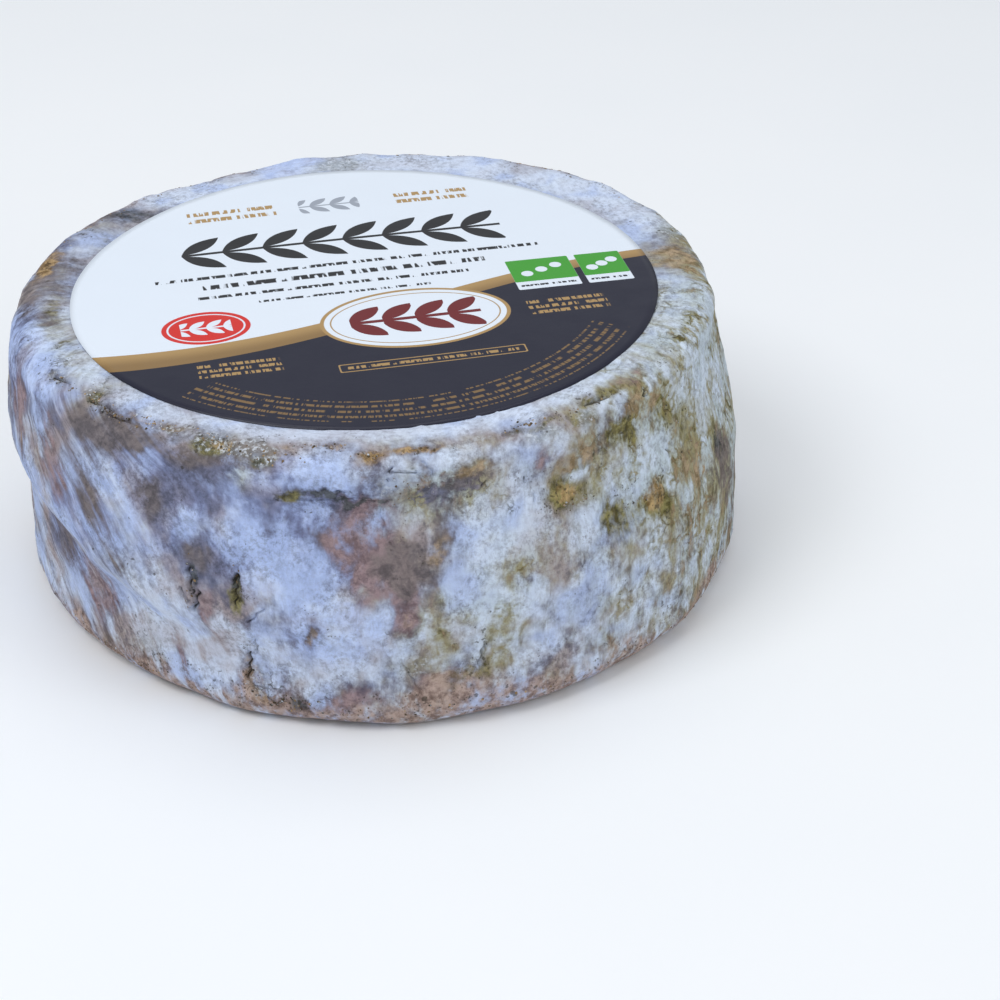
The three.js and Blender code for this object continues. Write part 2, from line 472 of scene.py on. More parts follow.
def stamp(piece: bpy.types.Object, name: str, values: np.ndarray) -> None:
    """Stores a number or a vector for each vertex in a named attribute that the finish reads."""
    kind, key = ("FLOAT_VECTOR", "vector") if values.ndim == 2 else ("FLOAT", "value")
    layer = piece.data.attributes.new(name, kind, "POINT")
    layer.data.foreach_set(key, values.astype(np.float32).ravel())


class Mould(Enum):
    """The kinds of growth and bare crust that colour the rind."""

    BLOOM = "bloom"
    SLATE = "slate"
    TAUPE = "taupe"
    RUSSET = "russet"
    OLIVE = "olive"
    OCHRE = "ochre"
    SOOT = "soot"
    TAN = "tan"
    LACE = "lace"
    FOOT = "foot"
    SAGE = "sage"
    AZURE = "azure"


@dataclass(frozen=True)
class Patch:
    """One patch of growth on the rind, an oval with a flat middle."""

    toward: float
    climb: float
    half_width: float
    half_height: float
    strength: float = 1.0
    tilt: float = 0.0


@dataclass(frozen=True)
class Scatter:
    """How many patches of one kind are drawn by the seed, and how far the widest reach."""

    count: int
    reach: float = 10.0


@dataclass(frozen=True)
class RindGrowth:
    """Where each kind of growth sits: the front as it grew there, the rest by a seeded draw."""

    form: SettledForm
    front: dict[Mould, tuple[Patch, ...]]
    back: dict[Mould, Scatter]
    seed: int = 11
    directions: Span = Span(2.0, 188.0)
    climbs: Span = Span(4.0, 98.0)
    sizes: Span = Span(0.35, 1.0)
    size_bias: float = 1.5
    least_half_width: float = 2.5
    least_half_height: float = 2.0
    flatness: float = 0.6
    tilts: Span = Span(-40.0, 40.0)
    strengths: Span = Span(0.6, 1.0)
    aside: tuple[Grain, Grain] = (Grain(3.2, 18.0, 2, 3.1), Grain(2.6, 6.0, 3, 8.3))
    upward: tuple[Grain, Grain] = (Grain(3.2, 18.0, 2, 17.7), Grain(2.6, 6.0, 3, 12.9))
    steady_size: float = 14.0
    even_cover: float = 0.7
    bloom_cover: float = 0.42
    sage_cover: float = 0.02
    sage_side: Span = Span(0.3, 1.0)
    bareness: tuple[tuple[Mould, float], ...] = (
        (Mould.SLATE, 0.42),
        (Mould.TAUPE, 0.42),
        (Mould.RUSSET, 0.5),
        (Mould.TAN, 0.42),
        (Mould.OLIVE, 0.45),
        (Mould.OCHRE, 0.5),
        (Mould.SOOT, 0.7),
    )
    cover_limits: Span = Span(-0.3, 1.4)
    ring_climbs: Span = Span(86.0, 94.0)
    calm_climbs: Span = Span(84.0, 92.0)
    calm_back: Span = Span(-0.3, 0.4)
    ring_calm: float = 0.35
    back_calm: float = 0.2
    restless_climbs: Span = Span(4.0, 24.0)
    foot_restlessness: float = 0.45
    crest_climb: float = 88.5
    crest_half_width: float = 5.0
    crest_crumbles: float = 0.25
    foot_crumbles: float = 0.5
    foot_climbs: Span = Span(6.0, 22.0)
    crumbly_moulds: tuple[tuple[Mould, float], ...] = (
        (Mould.OLIVE, 0.7),
        (Mould.SOOT, 0.6),
        (Mould.OCHRE, 0.6),
    )
    drawn_out_toward: float = 215.0
    drawn_out_spread: float = 28.0
    drawn_out_shear: float = 0.9
    drawn_out_about: float = 45.0
    drawn_out_squeeze: float = 0.4
    right_side: Span = Span(0.2, 0.9)
    right_squeeze: float = 0.25
    flow_squeeze: float = 0.95

    def _drawn_patch(self, draw: random.Random, reach: float) -> Patch:
        """Draws one patch."""
        size = draw.uniform(*self.sizes) ** self.size_bias
        return Patch(
            toward=draw.uniform(*self.directions),
            climb=draw.uniform(*self.climbs),
            half_width=self.least_half_width + reach * size,
            half_height=self.least_half_height + self.flatness * reach * size,
            tilt=draw.uniform(*self.tilts),
            strength=draw.uniform(*self.strengths),
        )

    def _drawn(self) -> dict[Mould, list[Patch]]:
        """Draws patches for the directions that the front's lists leave bare."""
        draw = random.Random(self.seed)
        return {
            mould: [self._drawn_patch(draw, scatter.reach) for _ in range(scatter.count)]
            for mould, scatter in self.back.items()
        }

    def amounts(self, points: np.ndarray, spot: Spot) -> dict[Mould, np.ndarray]:
        """Works out how much of each growth there is at every point of the rind.

        Args:
            points: Points of the round wheel.
            spot: Where those points lie on its rind.

        Returns:
            One array from 0 to 1 for each kind.
        """
        aside = sum(stray.at(points) for stray in self.aside)
        upward = sum(stray.at(points) for stray in self.upward)
        drawn = self._drawn()
        found = {}
        for mould in Mould:
            total = np.zeros(len(points))
            for patch in (*self.front.get(mould, ()), *drawn.get(mould, ())):
                stray = min(1.0, (patch.half_width + patch.half_height) / self.steady_size)
                across = np.radians(turn_between(spot.azimuth, patch.toward)) * self.form.radius
                across = across + stray * aside
                up = spot.climb - patch.climb + stray * upward
                cosine = math.cos(math.radians(patch.tilt))
                sine = math.sin(math.radians(patch.tilt))
                along = (across * cosine + up * sine) / patch.half_width
                over = (up * cosine - across * sine) / patch.half_height
                total += patch.strength / (1 + (along**2 + over**2) ** 2)
            found[mould] = np.clip(total, 0, 1)
        return found

    def cover(self, amounts: dict[Mould, np.ndarray]) -> np.ndarray:
        """Works out how thick the pale mould lies: thin over every kind of bare crust."""
        right = smoothstep(amounts[Mould.SAGE], *self.sage_side)
        cover = self.even_cover + self.bloom_cover * amounts[Mould.BLOOM] + self.sage_cover * right
        for mould, bare in self.bareness:
            cover -= bare * amounts[mould]
        return np.clip(cover, *self.cover_limits)

    def top_ring(self, spot: Spot) -> np.ndarray:
        """Is 1 on the ring round the label and 0 on the side."""
        return smoothstep(spot.climb, *self.ring_climbs)

    def unevenness(self, spot: Spot) -> np.ndarray:
        """Says how uneven the mould lies: calm on the top ring, restless along the foot."""
        ring = smoothstep(spot.climb, *self.calm_climbs)
        back = smoothstep(np.sin(np.radians(spot.azimuth)), *self.calm_back)
        foot = 1 - smoothstep(spot.climb, *self.restless_climbs)
        return 1 - (self.ring_calm + self.back_calm * back) * ring + self.foot_restlessness * foot

    def crumbly(self, spot: Spot, amounts: dict[Mould, np.ndarray]) -> np.ndarray:
        """Says where the crust crumbles: along the crest and the foot and round bare patches."""
        crest = self.crest_crumbles * bell(spot.climb - self.crest_climb, self.crest_half_width)
        foot = self.foot_crumbles * (1 - smoothstep(spot.climb, *self.foot_climbs))
        bare = sum(share * amounts[mould] for mould, share in self.crumbly_moulds)
        return np.clip(np.maximum(crest, foot) + bare, 0, 1)

    def flow(self, spot: Spot) -> np.ndarray:
        """Gives the coordinates along which the growth is drawn out into streaks, on the left askew."""
        left = bell(turn_between(spot.azimuth, self.drawn_out_toward), self.drawn_out_spread)
        shear = self.drawn_out_shear * left * (spot.climb - self.drawn_out_about)
        angle = np.radians(spot.azimuth) + shear / self.form.radius
        right = smoothstep(np.cos(np.radians(spot.azimuth)), *self.right_side)
        squeeze = self.flow_squeeze - self.right_squeeze * right - self.drawn_out_squeeze * left
        reach = self.form.radius
        return np.stack([reach * np.cos(angle), reach * np.sin(angle), spot.climb * squeeze], axis=1)


BACK_GROWTH: dict[Mould, Scatter] = {
    Mould.BLOOM: Scatter(36),
    Mould.SLATE: Scatter(20),
    Mould.TAUPE: Scatter(14),
    Mould.RUSSET: Scatter(10),
    Mould.OLIVE: Scatter(14),
    Mould.OCHRE: Scatter(8),
    Mould.SOOT: Scatter(3),
    Mould.TAN: Scatter(12),
    Mould.LACE: Scatter(8),
    Mould.SAGE: Scatter(3, 34.0),
    Mould.AZURE: Scatter(8, 16.0),
}


FRONT_GROWTH: dict[Mould, tuple[Patch, ...]] = {
    Mould.SLATE: (
        Patch(246, 72, 11, 6.5, 1.4), Patch(239, 62.5, 4, 7, 0.9, 10),
        Patch(251, 67, 9, 4, 0.7), Patch(228, 75, 12, 7, 0.7),
        Patch(214, 73, 13, 6, 0.7), Patch(246, 50, 7, 7, 0.6),
        Patch(241, 60, 5, 7, 0.55), Patch(256.5, 61, 5, 5, 0.6),
        Patch(246, 42, 6, 4, 0.4), Patch(251, 36, 5, 5, 0.45),
        Patch(257, 31, 8, 4, 0.5, -20), Patch(208, 27, 9, 6, 0.5, 20),
        Patch(203, 67, 10, 6, 0.55), Patch(267, 66, 13, 2.6, 0.8, -4),
        Patch(283, 66, 10, 6, 0.75, 20), Patch(297, 43, 6, 6, 0.5),
        Patch(276, 23, 4, 6, 0.45, -20), Patch(284, 17, 8, 5, 0.4),
        Patch(267, 52, 5, 5, 0.3), Patch(232.5, 42, 3, 6, 0.5, 10),
        Patch(191, 62, 7, 14, 0.5),
    ),
    Mould.TAUPE: (
        Patch(226, 80, 12, 7, 1.3), Patch(234, 82.5, 13, 4.5, 1.4),
        Patch(229, 75, 9, 5, 0.8), Patch(224, 53, 7, 8, 1.0, -30),
        Patch(246, 49, 4.5, 4.5, 0.7), Patch(262, 30, 2, 5, 0.9, -12),
        Patch(245, 79, 7, 4, 0.8), Patch(237.5, 61, 3.5, 7, 0.7),
        Patch(275, 49, 5, 6.5, 1.2), Patch(278, 50, 4.5, 6, 0.7),
        Patch(283, 58.5, 5, 4.5, 0.8), Patch(287, 70, 8, 4, 0.7, 10),
        Patch(313.5, 73, 5, 6.5, 0.9), Patch(322, 70, 4, 8, 0.5),
        Patch(343, 39, 9, 7, 1.3, 10), Patch(176, 96, 16, 6, 0.95),
        Patch(178, 88, 14, 5, 0.8), Patch(191, 94.5, 8, 3, 0.7),
        Patch(352, 24, 16, 12, 0.7), Patch(212, 30, 6, 8, 0.6, 20),
    ),
    Mould.RUSSET: (
        Patch(201, 62, 8, 12, 0.8, 12), Patch(215.5, 57, 4, 12, 0.9, 8),
        Patch(270.5, 57, 7, 7.5, 2.2), Patch(270, 43, 5, 3.5, 1.2),
        Patch(274.5, 47, 5, 6, 0.8), Patch(276, 37.5, 3, 5, 1.3),
        Patch(222, 22, 8, 8, 0.8), Patch(239.5, 15, 3.4, 6),
        Patch(246.3, 34.5, 2.4, 4.5, 1.1), Patch(298.5, 71.5, 3, 4, 0.8),
        Patch(278, 14, 3, 4, 0.7, 20), Patch(268, 9, 12, 4, 0.6),
        Patch(319, 90, 9, 3.5, 0.6),
    ),
    Mould.TAN: (
        Patch(320.5, 77, 8, 6, 0.9, -20), Patch(304.8, 69.5, 4.5, 4, 1.7),
        Patch(334, 47, 8, 6, 0.8), Patch(329, 57, 3, 6, 0.6),
        Patch(343, 55, 2.5, 9, 0.6, 5), Patch(288, 73.5, 7, 2.5, 0.6, 10),
        Patch(281, 52, 4, 4, 0.5), Patch(276.3, 35.5, 2.5, 3, 0.25),
        Patch(292, 46, 3.5, 5, 0.7, -30), Patch(260.5, 89.5, 8, 2, 0.6),
        Patch(270, 79, 4.5, 6, 0.6), Patch(205, 46, 5, 10, 0.5, 20),
        Patch(343, 84, 4, 10, 0.5),
    ),
    Mould.OLIVE: (
        Patch(303, 60.5, 6, 3.5, 1.0, -10), Patch(300, 57, 5, 3, 0.8),
        Patch(307, 57, 5, 3, 0.6), Patch(317.5, 49.5, 6, 2.6, 0.95, 5),
        Patch(310.5, 46, 4, 5, 0.9, 25), Patch(315.5, 70, 7, 6, 0.85),
        Patch(287.5, 22, 2.5, 6, 0.8), Patch(284, 15, 8, 2.2, 0.7),
        Patch(251.5, 40, 1.8, 5.5), Patch(246.5, 86, 5, 3, 1.1),
        Patch(256, 82, 6, 3, 0.5), Patch(326.5, 68, 5, 7, 0.8),
        Patch(321, 47.5, 4, 6, 1.1), Patch(313, 47, 5, 4, 1.1, -20),
        Patch(331.5, 62, 2.5, 8, 0.8), Patch(341, 50, 3, 6, 0.6),
        Patch(350, 66, 8, 6, 0.5, -15), Patch(331, 82, 3, 9, 0.5),
        Patch(187, 96, 7, 3, 0.7), Patch(203, 95.5, 7, 3, 0.5),
        Patch(221.5, 89.5, 3, 2.5, 0.9), Patch(299, 86.5, 9, 1.5, 0.9),
        Patch(313.5, 87, 9, 2.0, 0.8), Patch(306.5, 83, 3.5, 4, 0.7),
        Patch(345, 89, 22, 1.4, 0.5), Patch(259.5, 68.5, 3.5, 2, 0.8),
    ),
    Mould.OCHRE: (
        Patch(278.5, 85.5, 8, 1.7, 1.1, 2), Patch(271, 84.5, 3.5, 2.5, 0.7),
        Patch(266, 88.5, 4, 1.6, 0.7), Patch(237, 90.5, 9, 1.2, 0.7, 4),
        Patch(248, 87, 3.5, 1.6), Patch(262, 30, 1.6, 4, 0.3, -12),
        Patch(252, 16, 2.5, 5.5, 0.9), Patch(254, 8.5, 7, 3, 0.6),
        Patch(303, 59, 4, 2, 0.6), Patch(320.5, 49, 3.5, 3, 1.3),
    ),
    Mould.SOOT: (
        Patch(267.5, 67.8, 12, 1.1, 0.85, -3), Patch(212, 87, 5, 1.8, 0.6),
        Patch(255, 80, 6, 3, 0.3, -20), Patch(260, 7.5, 3.5, 2.5, 0.7),
        Patch(251.3, 44, 1.2, 2.5, 0.8), Patch(244.5, 42, 1.6, 5, 0.6, -10),
        Patch(254.3, 81.5, 1.1, 1.1, 1.2), Patch(343, 44, 5, 4, 0.5),
    ),
    Mould.LACE: (
        Patch(254.5, 86, 7, 4.5, 1.1), Patch(247, 87, 6, 4, 0.8),
        Patch(240, 90, 8, 3, 0.6), Patch(221.5, 90, 5, 3, 0.8),
        Patch(212, 87, 6, 4, 0.6), Patch(275.5, 72, 5, 5, 0.5),
        Patch(290, 86, 6, 3, 0.5), Patch(299, 83, 7, 4, 0.6),
        Patch(309, 82, 5, 3.5, 0.7), Patch(330, 62, 6, 6, 0.4),
        Patch(253, 14, 5, 6, 0.5), Patch(233, 12, 7, 5, 0.5),
        Patch(277, 20, 5, 5, 0.5), Patch(306, 55, 6, 3, 0.5),
    ),
    Mould.FOOT: (
        Patch(270, 0, 600, 5), Patch(251.5, 8, 4.5, 8, 0.85),
        Patch(258, 4, 4, 7, 0.8), Patch(266, 0, 16, 6.5, 0.8),
        Patch(280, 5, 8, 10), Patch(234, 4, 7, 8, 0.8),
        Patch(212, 0, 22, 8, 0.8), Patch(288, 3, 11, 8),
        Patch(300, 0, 12, 9, 0.8), Patch(312, 0, 10, 12, 0.8),
        Patch(335, 0, 16, 9, 0.8), Patch(20, 0, 16, 12, 0.9),
        Patch(60, 0, 10, 9, 0.9), Patch(95, 0, 18, 13, 0.9),
        Patch(140, 0, 12, 10, 0.9), Patch(175, 0, 12, 9, 0.9),
    ),
    Mould.BLOOM: (
        Patch(207, 78, 9, 6, 0.8), Patch(192, 73, 7, 5, 0.6),
        Patch(200, 89, 16, 4, 0.8), Patch(232.5, 61, 14, 4, 0.8, -45),
        Patch(238, 74.5, 5, 5, 1.1), Patch(244, 60, 4, 6, 0.7, -20),
        Patch(250.5, 66, 4, 4, 0.5), Patch(208, 57, 6, 6, 0.5),
        Patch(206, 46, 12, 6, 0.35), Patch(218, 43, 10, 5, 0.6),
        Patch(237, 27, 12, 13, 0.8), Patch(236, 17, 6, 6, 0.5),
        Patch(244, 14, 9, 8, 1.2), Patch(251, 26, 6, 6, 0.8),
        Patch(256, 44, 7, 6, 0.9), Patch(265, 36, 10, 5),
        Patch(268, 28, 13, 9, 1.2), Patch(265, 78, 9, 7, 0.9),
        Patch(255, 74, 5, 4, 0.5), Patch(276.8, 61, 6, 4.5, 1.9),
        Patch(291, 63, 7, 8, 0.9, -20), Patch(288, 52, 8, 6, 0.8, -20),
        Patch(287, 41, 6, 6, 0.7), Patch(301.5, 74.5, 4.5, 6),
        Patch(284, 81, 9, 4, 0.5), Patch(293, 79, 7, 5, 0.5),
        Patch(320.5, 56.5, 7, 6, 1.6), Patch(311, 61.5, 4, 4.5, 1.5),
        Patch(306, 61, 3, 3), Patch(315.5, 66, 3, 4, 0.9),
        Patch(315, 83.4, 6, 2.4, 1.2), Patch(306, 49.5, 6, 6, 1.1),
        Patch(296, 52, 9, 8, 0.8), Patch(330, 70, 3, 7),
        Patch(336, 68, 4, 9), Patch(338, 56, 2.5, 7, 0.8),
        Patch(346, 62, 4, 9, 0.8), Patch(341, 72, 7, 16, 1.2),
        Patch(330, 76, 3.5, 10, 1.2), Patch(351, 56, 8, 10, 0.7),
        Patch(356, 80, 14, 8, 0.6), Patch(216, 16, 7, 5, 0.7),
        Patch(251, 55, 7, 5, 0.5), Patch(292, 32, 8, 7, 0.6),
        Patch(90, 95, 110, 6, 1.5), Patch(220, 95.5, 40, 3, 0.5),
        Patch(268, 94.5, 60, 3.5, 0.8), Patch(310, 93, 26, 3.5, 0.7),
    ),
    Mould.SAGE: (
        Patch(345, 50, 68, 60), Patch(205, 96, 30, 8, 0.5),
        Patch(283, 66, 12, 8, 0.7), Patch(290, 38, 9, 22, 0.6),
        Patch(280, 30, 6, 12, 0.5), Patch(252, 74, 4, 4, 0.6),
    ),
    Mould.AZURE: (
        Patch(203, 83, 26, 10), Patch(259, 77, 15, 8),
        Patch(263, 66, 11, 8, 0.9), Patch(264, 46, 9, 12, 0.9),
        Patch(257, 50, 16, 14), Patch(236, 60, 16, 14, 0.9),
        Patch(267, 30, 14, 9, 0.8), Patch(216, 40, 22, 16, 0.8),
        Patch(287, 56, 9, 9, 0.5), Patch(242, 72, 14, 8, 0.9),
        Patch(196, 70, 16, 14, 0.7), Patch(300, 74, 7, 6, 0.6),
    ),
}

TEARS: tuple[Tear, ...] = (
    Tear(244.4, 41.5, 7, -10, 0.5, 1.5, 0.4),
    Tear(245.2, 36.5, 6, 14, 0.6, 1.6, 0.5),
    Tear(243.4, 37.5, 4, -35, 0.35, 1.0, 0.3),
    Tear(251.3, 41, 9, 4, 0.6, 1.2),
    Tear(274.6, 78.2, 2.6, 10, 0.4, 0.9),
    Tear(276.6, 76.6, 6.5, 97, 0.32, 0.9),
    Tear(274.1, 74.2, 0.8, 0, 0.35, 0.8),
    Tear(279, 75.5, 7, -35, 0.22, 0.5, 0.05),
    Tear(289, 68, 1.6, 40, 0.4, 0.8),
    Tear(295.5, 66, 1.6, 15, 0.35, 0.7),
    Tear(297, 60.5, 2.0, -10, 0.35, 0.7),
    Tear(325.5, 56, 2.6, -25, 0.35, 0.9),
    Tear(346, 50, 4.5, 5, 0.5, 0.9),
    Tear(267, 71, 2.6, -60, 0.25, 0.6),
    Tear(229, 86.6, 7, 80, 0.5, 1.0, 0.3),
    Tear(225.2, 87.4, 3, 10, 0.6, 1.1, 0.3),
    Tear(280.4, 78, 7, -22, 0.3, 0.6),
    Tear(265, 67.8, 16, 86, 0.5, 0.5, 0.1),
    Tear(272, 66.8, 10, 94, 0.4, 0.4, 0.1),
    Tear(253.6, 24.5, 5, 4, 0.4, 0.8),
    Tear(254.3, 35, 7, 42, 0.35, 0.7),
    Tear(276.3, 17, 12, -26, 0.3, 0.6),
    Tear(224, 88, 10, 86, 0.5, 1.0),
    Tear(252, 17, 8, 6, 0.5, 1.0),
    Tear(273, 62, 5, -14, 0.3, 0.6),
    Tear(287, 21, 7, 16, 0.4, 0.8),
    Tear(322, 80, 3, 12, 0.6, 1.0),
    Tear(213, 87.5, 9, 78, 0.6, 1.0),
    Tear(299, 89.5, 12, 88, 0.5, 0.9),
    Tear(312, 87, 9, 96, 0.5, 0.9),
    Tear(30, 52, 9, 20, 0.5, 1.0),
    Tear(66, 30, 11, -30, 0.4, 0.8),
    Tear(98, 64, 13, 80, 0.6, 0.9),
    Tear(127, 22, 8, 8, 0.5, 1.0),
    Tear(160, 60, 9, -40, 0.4, 0.8),
    Tear(84, 86, 12, 88, 0.5, 0.9),
    Tear(140, 88, 10, 84, 0.5, 0.9),
)


@dataclass(frozen=True)
class Cloud:
    """Soft noise: how long its lumps are, how fine, rough and bent it is, and how its axes shrink."""

    size: Feed
    detail: float = 3.0
    rough: float = 0.55
    bend: float = 0.0
    squeeze: tuple[float, float, float] | None = None


@dataclass(frozen=True)
class Fade:
    """A soft turn from one value at low to another at high."""

    low: Feed
    high: Feed
    start: float = 0.0
    end: float = 1.0


class NodeSheet:
    """Places shader nodes in one tree and wires them, so that a finish reads as a recipe."""

    def __init__(self, tree: bpy.types.NodeTree) -> None:
        """Takes the tree that the nodes go into."""
        self.tree = tree

    def feed(self, target: Socket, source: Feed) -> None:
        """Wires a socket to another one, or sets its value."""
        if isinstance(source, Socket):
            self.tree.links.new(source, target)
        else:
            target.default_value = source

    def place(self, kind: str, inputs: dict | None = None, **settings: object) -> bpy.types.Node:
        """Adds one node.

        Args:
            kind: The node's type.
            inputs: What each input takes, by the input's name or number.
            settings: The node's own properties.

        Returns:
            The node.
        """
        node = self.tree.nodes.new(kind)
        for name, setting in settings.items():
            setattr(node, name, setting)
        for key, source in (inputs or {}).items():
            self.feed(node.inputs[key], source)
        return node

    def math(self, operation: str, *terms: Feed) -> Socket:
        """Works on numbers, such as ADD, MULTIPLY or LESS_THAN."""
        return self.place("ShaderNodeMath", dict(enumerate(terms)), operation=operation).outputs[0]

    def times(self, one: Feed, other: Feed) -> Socket:
        """Multiplies two numbers."""
        return self.math("MULTIPLY", one, other)

    def minus(self, one: Feed, other: Feed) -> Socket:
        """Takes one number from another."""
        return self.math("SUBTRACT", one, other)

    def weighed(self, value: Feed, weight: Feed, ground: Feed) -> Socket:
        """Adds a weighed number to another."""
        return self.math("MULTIPLY_ADD", value, weight, ground)

    def vector(self, operation: str, *terms: Feed) -> Socket:
        """Works on vectors, such as ADD or MULTIPLY."""
        return self.place("ShaderNodeVectorMath", dict(enumerate(terms)), operation=operation).outputs[0]

    def scaled(self, vector: Feed, scale: Feed) -> Socket:
        """Makes a vector longer or shorter."""
        node = self.place("ShaderNodeVectorMath", {0: vector, "Scale": scale}, operation="SCALE")
        return node.outputs[0]

    def joined(self, *parts: Feed) -> Socket:
        """Makes a vector of up to three numbers."""
        return self.place("ShaderNodeCombineXYZ", dict(enumerate(parts))).outputs[0]

    def parted(self, vector: Feed) -> tuple[Socket, Socket]:
        """Takes a vector's X and Y."""
        node = self.place("ShaderNodeSeparateXYZ", {0: vector})
        return node.outputs[0], node.outputs[1]

    def blend(self, share: Feed, under: Feed, over: Feed, blend_type: str = "MIX") -> Socket:
        """Lays one colour over another."""
        node = self.place("ShaderNodeMix", data_type="RGBA", blend_type=blend_type)
        self.feed(node.inputs["Factor"], share)
        self.feed(node.inputs[6], under)
        self.feed(node.inputs[7], over)
        return node.outputs[2]

    def shaded(self, colour: Socket, light: Socket) -> Socket:
        """Multiplies a colour by a number."""
        return self.blend(1.0, colour, self.joined(light, light, light), "MULTIPLY")

    def fade(self, value: Feed, turn: Fade) -> Socket:
        """Turns a value softly into another one."""
        inputs = {
            "Value": value,
            "From Min": turn.low,
            "From Max": turn.high,
            "To Min": turn.start,
            "To Max": turn.end,
        }
        return self.place("ShaderNodeMapRange", inputs, interpolation_type="SMOOTHSTEP").outputs[0]

    def cloud(self, vector: Feed, kind: Cloud) -> Socket:
        """Gives soft noise, drawn out along the axes that its squeeze makes short."""
        if kind.squeeze:
            vector = self.vector("MULTIPLY", vector, kind.squeeze)
        wired = isinstance(kind.size, Socket)
        inputs = {
            "Vector": vector,
            "Scale": self.math("DIVIDE", 1.0, kind.size) if wired else 1.0 / kind.size,
            "Detail": kind.detail,
            "Roughness": kind.rough,
            "Distortion": kind.bend,
        }
        return self.place("ShaderNodeTexNoise", inputs).outputs[0]

    def reading(self, name: str, output: str = "Fac") -> Socket:
        """Reads one of the piece's own attributes."""
        node = self.place("ShaderNodeAttribute", attribute_name=name, attribute_type="GEOMETRY")
        return node.outputs[output]

    def millimetres(self) -> Socket:
        """Gives the piece's own coordinates in millimetres."""
        return self.scaled(self.place("ShaderNodeTexCoord").outputs["Object"], 1 / MM)

    def effect(self, group: bpy.types.NodeTree, **inputs: Feed) -> Socket:
        """Places an effect group and returns its mask.

        Args:
            group: The effect's node group.
            inputs: What each input takes, its name with underscores for spaces.

        Returns:
            The group's mask.
        """
        named = {name.replace("_", " "): source for name, source in inputs.items()}
        return self.place("ShaderNodeGroup", named, node_tree=group).outputs[0]


